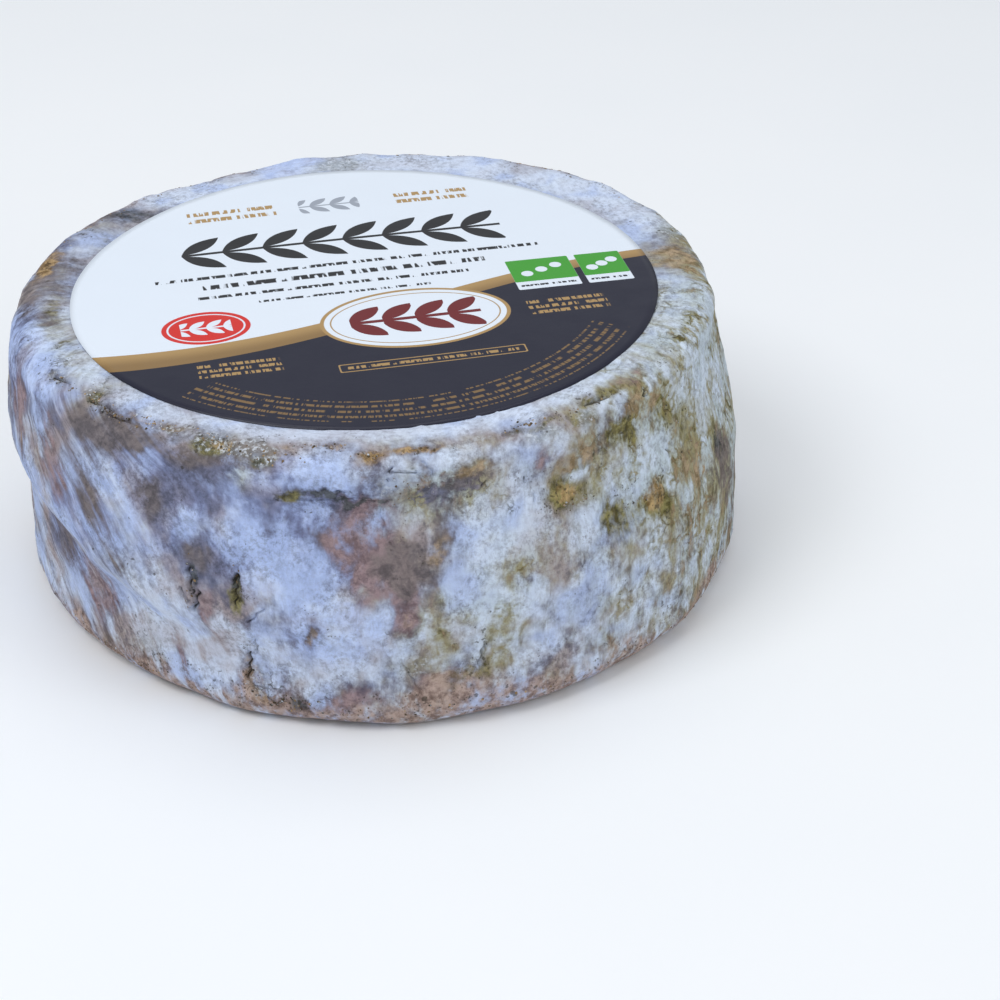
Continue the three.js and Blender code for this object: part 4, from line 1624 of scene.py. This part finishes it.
@dataclass(frozen=True)
class LeafRow:
    """A row of plain leaves, cut off by a window round its middle."""

    across: float
    up: float
    half_width: float
    half_height: float
    corner: float
    pitch: float
    leaf_length: float
    leaf_width: float
    stem: float
    ink: Ink

    def print_on(self, press: Press) -> None:
        """Prints the row."""
        sheet = press.sheet
        moved = sheet.vector("SUBTRACT", press.page, (self.across, self.up, 0.0))
        leaves = sheet.effect(
            press.effects.leaf_row,
            Vector=moved,
            Pitch=self.pitch,
            Leaf_Length=self.leaf_length,
            Leaf_Width=self.leaf_width,
            Stem=self.stem,
        )
        window = {"Half_Width": self.half_width, "Half_Height": self.half_height, "Corner": self.corner}
        press.lay_part(moved, leaves, self.ink, **window)


@dataclass(frozen=True)
class PrintBlock:
    """A block of fine print, seen from afar as rows of broken dashes."""

    across: float
    up: float
    half_width: float
    rows: int
    pitch: float
    dash: float
    ink: Ink
    thickness: float = 0.55

    def print_on(self, press: Press) -> None:
        """Prints the block."""
        sheet = press.sheet
        half_height = self.rows * self.pitch / 2
        moved = sheet.vector("SUBTRACT", press.page, (self.across, self.up - half_height, 0.0))
        dashes = {"Pitch": self.pitch, "Dash": self.dash, "Thickness": self.thickness}
        rows = sheet.effect(press.effects.dash_rows, Vector=moved, **dashes)
        window = {"Up": half_height, "Half_Width": self.half_width, "Half_Height": half_height}
        press.lay_part(moved, rows, self.ink, **window)


@dataclass(frozen=True)
class CaptionedBox:
    """A white box with a green field, a row of rising dots and a caption."""

    across: float
    half_width: float
    paper_up: float = -3.4
    paper_half_height: float = 9.4
    field_up: float = -1.0
    field_half_height: float = 7.0
    dot_steps: tuple[float, ...] = (-0.5, 0.0, 0.5)
    dot_rise: float = 4.0
    dot_radius: float = 1.7
    caption_up: float = -10.5
    caption_margin: float = 1.0
    caption_pitch: float = 2.0
    caption_dash: float = 0.8

    def print_on(self, press: Press) -> None:
        """Prints the box and what stands in it."""
        across, half_width, radius = self.across, self.half_width, self.dot_radius
        caption_width = half_width - self.caption_margin
        caption = (across, self.caption_up, caption_width, 1, self.caption_pitch, self.caption_dash)
        Box(across, self.paper_up, half_width, self.paper_half_height, Ink.WHITE).print_on(press)
        Box(across, self.field_up, half_width, self.field_half_height, Ink.GREEN).print_on(press)
        for step in self.dot_steps:
            up = self.field_up + self.dot_rise * step
            Oval(across + step * half_width, up, radius, radius, Ink.WHITE).print_on(press)
        PrintBlock(*caption, Ink.BLACK).print_on(press)


@dataclass(frozen=True)
class RimPrint:
    """Rows of fine print that run along the label's lower edge."""

    radius: float = 71.5
    around_radius: float = 70.0
    around: float = 6.0
    half_length: float = 64.0
    half_height: float = 5.4
    pitch: float = 2.7
    dash: float = 0.7
    thickness: float = 0.42
    strength: float = 0.8
    ink: Ink = Ink.OLD_GOLD

    def print_on(self, press: Press) -> None:
        """Prints the rows."""
        sheet = press.sheet
        x, y = sheet.parted(press.page)
        angle = sheet.math("ARCTAN2", x, sheet.times(y, -1.0))
        length = sheet.place("ShaderNodeVectorMath", {0: press.page}, operation="LENGTH").outputs["Value"]
        ring = sheet.joined(sheet.times(angle, self.around_radius), length)
        dashes = {"Pitch": self.pitch, "Dash": self.dash, "Thickness": self.thickness}
        rows = sheet.effect(press.effects.dash_rows, Vector=ring, **dashes)
        press.lay_part(
            ring,
            rows,
            self.ink,
            self.strength,
            Across=self.around,
            Up=self.radius,
            Half_Width=self.half_length,
            Half_Height=self.half_height,
        )


Motif = Oval | LeafRow | PrintBlock | RimPrint | CaptionedBox


def rimmed(kind: type[Oval], middle: Oval, rims: tuple[tuple[float, Ink], ...]) -> list[Oval]:
    """Stacks ovals or boxes that differ by how far they grow past a middle one, to make its rims."""
    across, up, half_width, half_height = middle.across, middle.up, middle.half_width, middle.half_height
    return [kind(across, up, half_width + grow, half_height + grow, ink) for grow, ink in rims]


MOTIFS: tuple[Motif, ...] = (
    LeafRow(-1.0, 32.0, 46.5, 12.0, 4.0, 11.6, 7.6, 2.7, 0.7, Ink.BLACK),
    LeafRow(-1.0, 57.0, 9.0, 6.0, 4.0, 6.0, 3.6, 1.4, 0.35, Ink.GREY),
    *rimmed(
        Oval,
        Oval(10.0, -22.0, 25.0, 16.0, Ink.WHITE),
        ((1.1, Ink.GOLD), (0.0, Ink.WHITE), (-1.6, Ink.GOLD), (-2.0, Ink.WHITE)),
    ),
    LeafRow(10.0, -22.0, 18.0, 11.0, 4.0, 9.0, 6.4, 2.6, 0.8, Ink.WINE),
    *rimmed(
        Oval,
        Oval(-46.0, -15.0, 12.0, 9.6, Ink.RED),
        ((0.0, Ink.RED), (-1.4, Ink.WHITE), (-1.9, Ink.RED)),
    ),
    LeafRow(-46.0, -15.0, 6.9, 6.0, 2.0, 4.6, 3.0, 1.2, 0.4, Ink.WHITE),
    CaptionedBox(50.0, 9.0),
    CaptionedBox(67.5, 6.5),
    *rimmed(Box, Box(10.0, -46.5, 25.0, 2.2, Ink.GOLD), ((0.0, Ink.GOLD), (-0.4, Ink.NAVY))),
    PrintBlock(-2.0, 16.0, 55.0, 1, 3.4, 1.1, Ink.BLACK),
    PrintBlock(-4.0, 9.6, 40.0, 1, 5.0, 1.5, Ink.BLACK),
    PrintBlock(-8.0, 3.2, 38.0, 1, 3.2, 1.1, Ink.BLACK),
    PrintBlock(-6.0, -2.6, 24.0, 1, 2.4, 0.9, Ink.BLACK),
    PrintBlock(-30.0, 57.0, 13.0, 2, 4.6, 1.1, Ink.GOLD),
    PrintBlock(30.0, 57.0, 11.0, 2, 4.6, 1.1, Ink.GOLD),
    PrintBlock(-40.0, -40.0, 11.0, 3, 2.8, 0.8, Ink.GOLD),
    PrintBlock(10.0, -46.5, 23.0, 1, 2.6, 0.9, Ink.GOLD),
    PrintBlock(52.0, -24.0, 11.0, 3, 3.2, 0.9, Ink.GOLD),
    RimPrint(),
)


@dataclass(frozen=True)
class LabelFinish:
    """The printed paper: white and dark blue fields, a gold band and plain generic ornament."""

    motifs: tuple[Motif, ...] = MOTIFS
    turn: float = 12.5
    band_middle: float = -10.0
    band_swing: float = 16.0
    band_turn: float = 0.0209
    band_start: float = 15.0
    band_depth: float = 7.0
    band_taper: float = 0.03
    # Painted sheen on the gold band: gold near its upper edge, darker old gold towards its lower edge
    band_painted_sheen: Fade = Fade(-6.5, -0.5)
    sheen_cloud: Cloud = Cloud(9, 3, 0.5)
    sheen: Fade = Fade(0.3, 0.7, 0.3, 0.42)
    gloss: float = 0.35
    buckle_cloud: Cloud = Cloud(7, 2, 0.5)
    fibre_cloud: Cloud = Cloud(0.5, 2, 0.6)
    fibre_relief: float = 0.25
    relief: float = 0.12
    relief_strength: float = 0.35

    def make(self, effects: Effects) -> bpy.types.Material:
        """Builds the material."""
        coat = Coat("printed_paper")
        sheet = coat.sheet
        place = sheet.millimetres()
        centred = sheet.vector("SUBTRACT", place, (*LABEL_CENTRE, 0.0))
        inputs = {"Vector": centred, "Rotation": (0.0, 0.0, -math.radians(self.turn))}
        turned = sheet.place("ShaderNodeMapping", inputs).outputs[0]
        page = sheet.vector("MULTIPLY", turned, (1.0, 1.0, 0.0))
        press = Press(sheet, effects, page, self._fields(sheet, page, effects.PRINT_EDGE))
        for motif in self.motifs:
            motif.print_on(press)
        coat.paint(press.colour, sheet.fade(sheet.cloud(place, self.sheen_cloud), self.sheen), self.gloss)
        fibre = sheet.times(sheet.cloud(place, self.fibre_cloud), self.fibre_relief)
        height = sheet.math("ADD", sheet.cloud(place, self.buckle_cloud), fibre)
        coat.emboss(height, self.relief, self.relief_strength)
        return coat.material

    def _fields(self, sheet: NodeSheet, page: Socket, edge: Fade) -> Socket:
        """Prints the white field, the tapering gold band with painted sheen, lighter near its upper edge
        and darker towards its lower edge, and the dark field below it.
        """
        across, up = sheet.parted(page)
        angle = sheet.times(sheet.minus(across, self.band_start), self.band_turn)
        top = sheet.weighed(sheet.math("SINE", angle), self.band_swing, self.band_middle)
        over = sheet.minus(up, top)
        depth = sheet.weighed(across, -self.band_taper, self.band_depth)
        # Painted sheen and shade across the gold band
        gold = sheet.blend(sheet.fade(over, self.band_painted_sheen), Ink.OLD_GOLD.value, Ink.GOLD.value)
        colour = sheet.blend(sheet.fade(over, edge), gold, Ink.WHITE.value)
        return sheet.blend(sheet.fade(sheet.math("ADD", over, depth), edge), Ink.NAVY.value, colour)


@dataclass(frozen=True)
class CheeseWheel:
    """The uncut wheel: paste and rind as one body, with the rind's relief and growth."""

    form: SettledForm
    growth: RindGrowth
    tears: tuple[Tear, ...]
    wedges: int = 20
    wedge_steps: int = 35
    underside_steps: int = 3
    foot_steps: int = 11
    side_steps: int = 60
    shoulder_steps: int = 25
    ring_steps: int = 8
    label_steps: int = 4
    label_overlap: float = 2.0
    lumps: Grain = Grain(0.34, 8.5, 3, 5.5)
    pebbles: Grain = Grain(0.13, 2.6, 2, 9.1)
    crumbs: Grain = Grain(0.36, 3.2, 3, 21.3)
    relief_past_label: Span = Span(0.5, 5.0)
    growth_height: float = 0.35
    bare_moulds: tuple[Mould, ...] = (Mould.SLATE, Mould.OLIVE, Mould.SOOT)
    tear_wobble: float = 0.8
    tear_wobble_turn: float = 1.9
    gash_width: float = 0.9
    lip_away: float = 2.2
    lip_width: float = 0.8
    refined_widths: float = 4.0
    refined_margin: float = 0.6

    def build(self, material: bpy.types.Material) -> bpy.types.Object:
        """Builds the wheel and gives it its finish.

        Args:
            material: The rind's finish.

        Returns:
            The finished piece.
        """
        mesh = self._turned()
        self._refine(mesh)
        points, outward = read_points(mesh)
        spot = self.form.spots(points)
        amounts = self.growth.amounts(points, spot)
        relief = self._relief(points, spot, amounts)
        write_points(mesh, kept_in_box(self.form.settle(points, outward, relief)))
        piece = finished_piece(mesh, "cheese_rind", material)
        for mould, amount in amounts.items():
            stamp(piece, mould.value, amount)
        stamp(piece, "cover", self.growth.cover(amounts))
        stamp(piece, "crumbly", self.growth.crumbly(spot, amounts))
        stamp(piece, "tear", self._gashes(spot))
        stamp(piece, "ring", self.growth.top_ring(spot))
        stamp(piece, "swing", self.growth.unevenness(spot))
        stamp(piece, "flow", self.growth.flow(spot))
        return piece

    def places(self, azimuth: np.ndarray, climb: np.ndarray) -> tuple[np.ndarray, np.ndarray]:
        """Finds spots of the settled rind by their direction and climb.

        Args:
            azimuth: Directions, in degrees.
            climb: Ways up the side and inwards over the shoulder.

        Returns:
            The places, and the round wheel's normal at each of them.
        """
        points, outward = self.form.round_spots(azimuth, climb)
        spot = self.form.spots(points)
        relief = self._relief(points, spot, self.growth.amounts(points, spot))
        return self.form.settle(points, outward, relief), outward

    def _turned(self) -> bmesh.types.BMesh:
        """Turns the plain round wheel."""
        form = self.form
        foot = form.radius - form.foot_corner
        shoulder = form.radius - form.shoulder_corner
        shoulder_level = form.height - form.shoulder_corner
        pen = ProfilePen((0.0, 0.0))
        pen.line((foot, 0.0), self.underside_steps)
        pen.arc((foot, form.foot_corner), 90, self.foot_steps)
        pen.line((form.radius, shoulder_level), self.side_steps)
        pen.arc((shoulder, shoulder_level), 90, self.shoulder_steps)
        pen.line((form.label_radius - self.label_overlap, form.height), self.ring_steps)
        pen.line((0.0, form.height), self.label_steps)
        return pen.turn(self.wedges, self.wedge_steps)

    def _groove(self, spot: Spot, tear: Tear) -> tuple[np.ndarray, np.ndarray]:
        """Says how far each point lies across a tear's line, and along it past its ends."""
        across = np.radians(turn_between(spot.azimuth, tear.toward)) * self.form.radius
        up = spot.climb - tear.climb
        angle = math.radians(tear.tilt)
        along = up * math.cos(angle) + across * math.sin(angle)
        aside = across * math.cos(angle) - up * math.sin(angle)
        past = np.maximum(np.abs(along) - tear.length / 2, 0)
        return aside, past

    def _off_tear(self, spot: Spot, tear: Tear) -> np.ndarray:
        """Returns each point's distance from a tear's wobbling line."""
        aside, past = self._groove(spot, tear)
        turn = np.sin(spot.climb * self.tear_wobble_turn + tear.toward)
        return np.hypot(aside + self.tear_wobble * tear.half_width * turn, past)

    def _refine(self, mesh: bmesh.types.BMesh) -> None:
        """Splits the faces along the tears, so that their narrow grooves keep their shape."""
        points, _ = read_points(mesh)
        spot = self.form.spots(points)
        near = np.zeros(len(points), bool)
        for tear in self.tears:
            aside, past = self._groove(spot, tear)
            near |= np.hypot(aside, past) < self.refined_widths * tear.half_width + self.refined_margin
        mesh.verts.ensure_lookup_table()
        close = {mesh.verts[index] for index in np.flatnonzero(near)}
        edges = [edge for edge in mesh.edges if close.issuperset(edge.verts)]
        bmesh.ops.subdivide_edges(mesh, edges=edges, cuts=2, use_grid_fill=True)

    def _gashes(self, spot: Spot) -> np.ndarray:
        """Is 1 inside the tears and 0 outside them."""
        inside = np.zeros(len(spot.level))
        for tear in self.tears:
            line = bell(self._off_tear(spot, tear), self.gash_width * tear.half_width)
            inside = np.maximum(inside, line * min(1.0, tear.depth))
        return inside

    def _relief(self, points: np.ndarray, spot: Spot, amounts: dict[Mould, np.ndarray]) -> np.ndarray:
        """Works out the rind's relief, broad and fine.

        Args:
            points: Points of the round wheel.
            spot: Where those points lie on its rind.
            amounts: How much of each growth there is at each point.

        Returns:
            The height at each point.
        """
        pillow = amounts[Mould.BLOOM] - sum(amounts[mould] for mould in self.bare_moulds)
        fine = self.lumps.at(points) + self.pebbles.at(points)
        fine += self.crumbs.at(points) * self.growth.crumbly(spot, amounts)
        fine += self.growth_height * np.clip(pillow, -1, 1)
        for tear in self.tears:
            distance = self._off_tear(spot, tear)
            lip = distance - self.lip_away * tear.half_width
            fine -= tear.depth * bell(distance, tear.half_width)
            fine += tear.lip * bell(lip, self.lip_width * tear.half_width)
        outside = smoothstep(spot.radius - self.form.label_radius, *self.relief_past_label)
        calm = smoothstep(spot.level, 0, self.form.foot_calm)
        return self.form.broad_relief(points, spot) + fine * outside * calm


@dataclass(frozen=True)
class Drift:
    """A heap or line of loose crumbs: where it lies, how far it spreads and how its crumbs look."""

    toward: float
    climb: float
    half_width: float
    half_height: float
    count: int
    tint: float = 0.3
    size: float = 0.55


@dataclass(frozen=True)
class CrustCrumbs:
    """Loose crumbs of crust that lie half sunk in the mould, along the crest, the foot and the tears."""

    wheel: CheeseWheel
    drifts: tuple[Drift, ...]
    seed: int = 23
    gather: float = 1.6
    climbs: Span = Span(2.5, 98.0)
    sizes: Span = Span(0.4, 1.3)
    size_bias: float = 1.6
    tint_spread: float = 0.22
    widths: Span = Span(0.5, 1.0)
    sunk: float = 0.12
    flatness: float = 0.5
    rough: Grain = Grain(0.12, 0.5, 2, 6.6)

    def build(self, material: bpy.types.Material) -> bpy.types.Object:
        """Builds the crumbs and gives them their finish.

        Args:
            material: The crumbs' finish.

        Returns:
            The finished piece.
        """
        draw = random.Random(self.seed)
        crumbs = [self._drawn(draw, drift) for drift in self.drifts for _ in range(drift.count)]
        azimuths, climbs, sizes, tints = (np.array(column) for column in zip(*crumbs))
        places, outward = self.wheel.places(azimuths, climbs)
        mesh = bmesh.new()
        for place, way, size in zip(places, outward, sizes):
            stand = Vector(way).to_track_quat("Z", "Y").to_matrix().to_4x4()
            spin = Matrix.Rotation(draw.uniform(0, math.tau), 4, "Z")
            shape = Matrix.Diagonal((size, size * draw.uniform(*self.widths), size * self.flatness, 1))
            spot = Matrix.Translation(place - way * size * self.sunk)
            bmesh.ops.create_icosphere(mesh, subdivisions=1, radius=1.0, matrix=spot @ stand @ spin @ shape)
        points, outward = read_points(mesh)
        rough = self.rough.at(points)
        write_points(mesh, kept_in_box(points + outward * rough[:, None]))
        piece = finished_piece(mesh, "rind_crumbs", material)
        stamp(piece, "tint", np.repeat(tints, len(points) // len(tints)))
        return piece

    def _drawn(self, draw: random.Random, drift: Drift) -> tuple[float, float, float, float]:
        """Draws one crumb's direction, climb, size and tint."""
        spread = math.degrees(drift.half_width / self.wheel.form.radius)
        azimuth = draw.gauss(drift.toward, spread / self.gather) % 360
        climb = draw.gauss(drift.climb, drift.half_height / self.gather)
        size = drift.size * draw.uniform(*self.sizes) ** self.size_bias
        tint = draw.gauss(drift.tint, self.tint_spread)
        return azimuth, min(self.climbs.high, max(self.climbs.low, climb)), size, min(1, max(0, tint))


CRUMB_DRIFTS: tuple[Drift, ...] = (
    Drift(227.5, 87, 7, 1.2, 60, 0.12, 0.42),
    Drift(235, 90, 9, 1.5, 40, 0.5, 0.34),
    Drift(221, 90, 4, 2.0, 20, 0.4, 0.34),
    Drift(214, 87.5, 9, 1.4, 24, 0.2, 0.36),
    Drift(247, 88.5, 6, 2.2, 40, 0.4, 0.32),
    Drift(250, 85.5, 4, 2.0, 24, 0.25, 0.34),
    Drift(256, 84, 7, 3.0, 40, 0.4, 0.3),
    Drift(264, 89.5, 7, 1.2, 30, 0.35, 0.34),
    Drift(271, 85.5, 4, 1.5, 26, 0.35, 0.34),
    Drift(277, 70, 4, 4.0, 20, 0.3, 0.28),
    Drift(298, 88, 10, 1.4, 30, 0.2, 0.36),
    Drift(312, 87, 12, 1.4, 36, 0.2, 0.36),
    Drift(331, 60, 7, 9.0, 24, 0.15, 0.36),
    Drift(60, 88, 60, 2.5, 70, 0.3, 0.4),
    Drift(140, 88, 50, 2.5, 60, 0.3, 0.4),
    Drift(244.6, 40, 1.6, 5.0, 24, 0.25, 0.34),
    Drift(251.4, 43, 0.8, 3.0, 12, 0.15, 0.32),
    Drift(304, 56, 5, 1.5, 16, 0.2, 0.34),
    Drift(318, 48.5, 6, 1.2, 16, 0.2, 0.34),
    Drift(225, 5, 30, 2.0, 50, 0.25, 0.34),
    Drift(258.5, 7.5, 5, 2.5, 40, 0.12, 0.42),
    Drift(252, 14, 2, 3.5, 16, 0.12, 0.36),
    Drift(276, 6, 16, 2.5, 40, 0.25, 0.34),
    Drift(320, 5, 50, 2.5, 50, 0.3, 0.36),
    Drift(60, 5, 90, 2.5, 80, 0.3, 0.4),
    Drift(150, 5, 60, 2.5, 60, 0.3, 0.4),
)


@dataclass(frozen=True)
class PaperLabel:
    """The thin round label that is glued to the top face and follows its swell."""

    form: SettledForm
    thickness: float = 0.16
    lift: float = 0.08
    wedges: int = 12
    wedge_steps: int = 24
    rings: int = 36
    loose_rim: float = 6.0
    wrinkles: Grain = Grain(0.35, 16.0, 2, 2.4)

    def build(self, material: bpy.types.Material) -> bpy.types.Object:
        """Builds the label and gives it its finish.

        Args:
            material: The printed paper's finish.

        Returns:
            The finished piece.
        """
        radius = self.form.label_radius
        pen = ProfilePen((0.0, 0.0))
        pen.line((radius, 0.0), self.rings)
        pen.line((radius, self.thickness), 1)
        pen.line((0.0, self.thickness), self.rings)
        mesh = pen.turn(self.wedges, self.wedge_steps)
        bmesh.ops.translate(mesh, vec=(*LABEL_CENTRE, self.form.height + self.lift), verts=mesh.verts[:])
        points, _ = read_points(mesh)
        places = points.copy()
        places[:, 2] += self.form.swelling(points) + self._lifted(points)
        write_points(mesh, places)
        return finished_piece(mesh, "label_paper", material)

    def _lifted(self, points: np.ndarray) -> np.ndarray:
        """Says how far the edge of the paper stands off where the glue has let go."""
        offset = points[:, :2] - np.array(LABEL_CENTRE)
        radius = np.hypot(offset[:, 0], offset[:, 1])
        edge = smoothstep(radius, self.form.label_radius - self.loose_rim, self.form.label_radius)
        return edge * np.clip(self.wrinkles.at(points), 0, self.wrinkles.height)


@dataclass(frozen=True)
class Lamp:
    """A soft square lamp that looks at the wheel."""

    name: str
    place: tuple[float, float, float]
    size: float
    power: float


@dataclass(frozen=True)
class Studio:
    """A plain pale floor, soft light and the camera."""

    pitch: float = 31.14
    roll: float = -0.57
    lens: float = 85.0
    sensor: float = 36.0
    far: float = 20.0
    camera_place: tuple[float, float, float] = (34.2, -591.2, 366.4)
    floor_radius: float = 3000.0
    floor_cloud: Cloud = Cloud(90, 2, 0.5)
    floor_tones: tuple[tuple, tuple] = (linear(246, 247, 249), linear(250, 250, 251))
    floor_roughness: float = 0.8
    air: tuple[float, float, float, float] = (0.9, 0.95, 1.0, 1.0)
    air_strength: float = 0.5
    lamp_colour: tuple[float, float, float] = (0.96, 0.98, 1.0)
    lamps: tuple[Lamp, ...] = (
        Lamp("key_light", (-700, -500, 1300), 700, 8.0),
        Lamp("fill_light", (900, -700, 900), 900, 3.5),
        Lamp("top_light", (0, 300, 1500), 1000, 5.0),
    )

    def build(self) -> None:
        """Sets up the floor, the lights and the camera."""
        self._floor()
        self._world()
        for lamp in self.lamps:
            self._hang(lamp)
        self._camera()
        bpy.context.scene.view_settings.view_transform = "Standard"

    def _floor(self) -> None:
        """Lays a wide round floor."""
        mesh = bmesh.new()
        bmesh.ops.create_circle(mesh, cap_ends=True, radius=self.floor_radius, segments=96)
        coat = Coat("pale_floor")
        mottle = coat.sheet.cloud(coat.sheet.millimetres(), self.floor_cloud)
        coat.paint(coat.sheet.blend(mottle, *self.floor_tones), self.floor_roughness)
        finished_piece(mesh, "studio_floor", coat.material)

    def _world(self) -> None:
        """Fills the room with even pale light."""
        world = bpy.data.worlds.new("studio_air")
        world.use_nodes = True
        background = world.node_tree.nodes["Background"]
        background.inputs["Color"].default_value = self.air
        background.inputs["Strength"].default_value = self.air_strength
        bpy.context.scene.world = world

    def _hang(self, lamp: Lamp) -> None:
        """Hangs one lamp."""
        data = bpy.data.lights.new(lamp.name, "AREA")
        data.size = lamp.size * MM
        data.energy = lamp.power
        data.color = self.lamp_colour
        light = bpy.data.objects.new(lamp.name, data)
        light.location = Vector(lamp.place) * MM
        light.rotation_euler = (-light.location).to_track_quat("-Z", "Y").to_euler()
        bpy.context.scene.collection.objects.link(light)

    def _camera(self) -> None:
        """Sets the camera at the viewing angle."""
        data = bpy.data.cameras.new("camera")
        data.lens = self.lens
        data.sensor_width = self.sensor
        data.clip_end = self.far
        camera = bpy.data.objects.new("camera", data)
        tilt = Matrix.Rotation(math.radians(90 - self.pitch), 4, "X")
        roll = Matrix.Rotation(math.radians(self.roll), 4, "Z")
        camera.matrix_world = Matrix.Translation(Vector(self.camera_place) * MM) @ tilt @ roll
        bpy.context.scene.collection.objects.link(camera)
        bpy.context.scene.camera = camera


def fit(piece: bpy.types.Object, node: str) -> None:
    """Ties a finished piece to the body and hides the node that it stands for."""
    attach(piece, BODY)
    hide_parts(node)
    log.info("%s: %d faces for %s", piece.name, len(piece.data.polygons), node)


def main() -> None:
    """Builds the cheese and the studio, and reports each piece."""
    logging.basicConfig(level=logging.INFO, format="%(message)s")
    effects = Effects()
    form = SettledForm()
    growth = RindGrowth(form, FRONT_GROWTH, BACK_GROWTH)
    Studio().build()
    wheel = CheeseWheel(form, growth, TEARS)
    fit(wheel.build(RindFinish().make(effects)), "cheese_wheel")
    crumbs = CrustCrumbs(wheel, CRUMB_DRIFTS)
    fit(crumbs.build(CrumbFinish().make()), "cheese_wheel")
    label = PaperLabel(form)
    fit(label.build(LabelFinish().make(effects)), "paper_label")


if __name__ == "__main__":
    main()
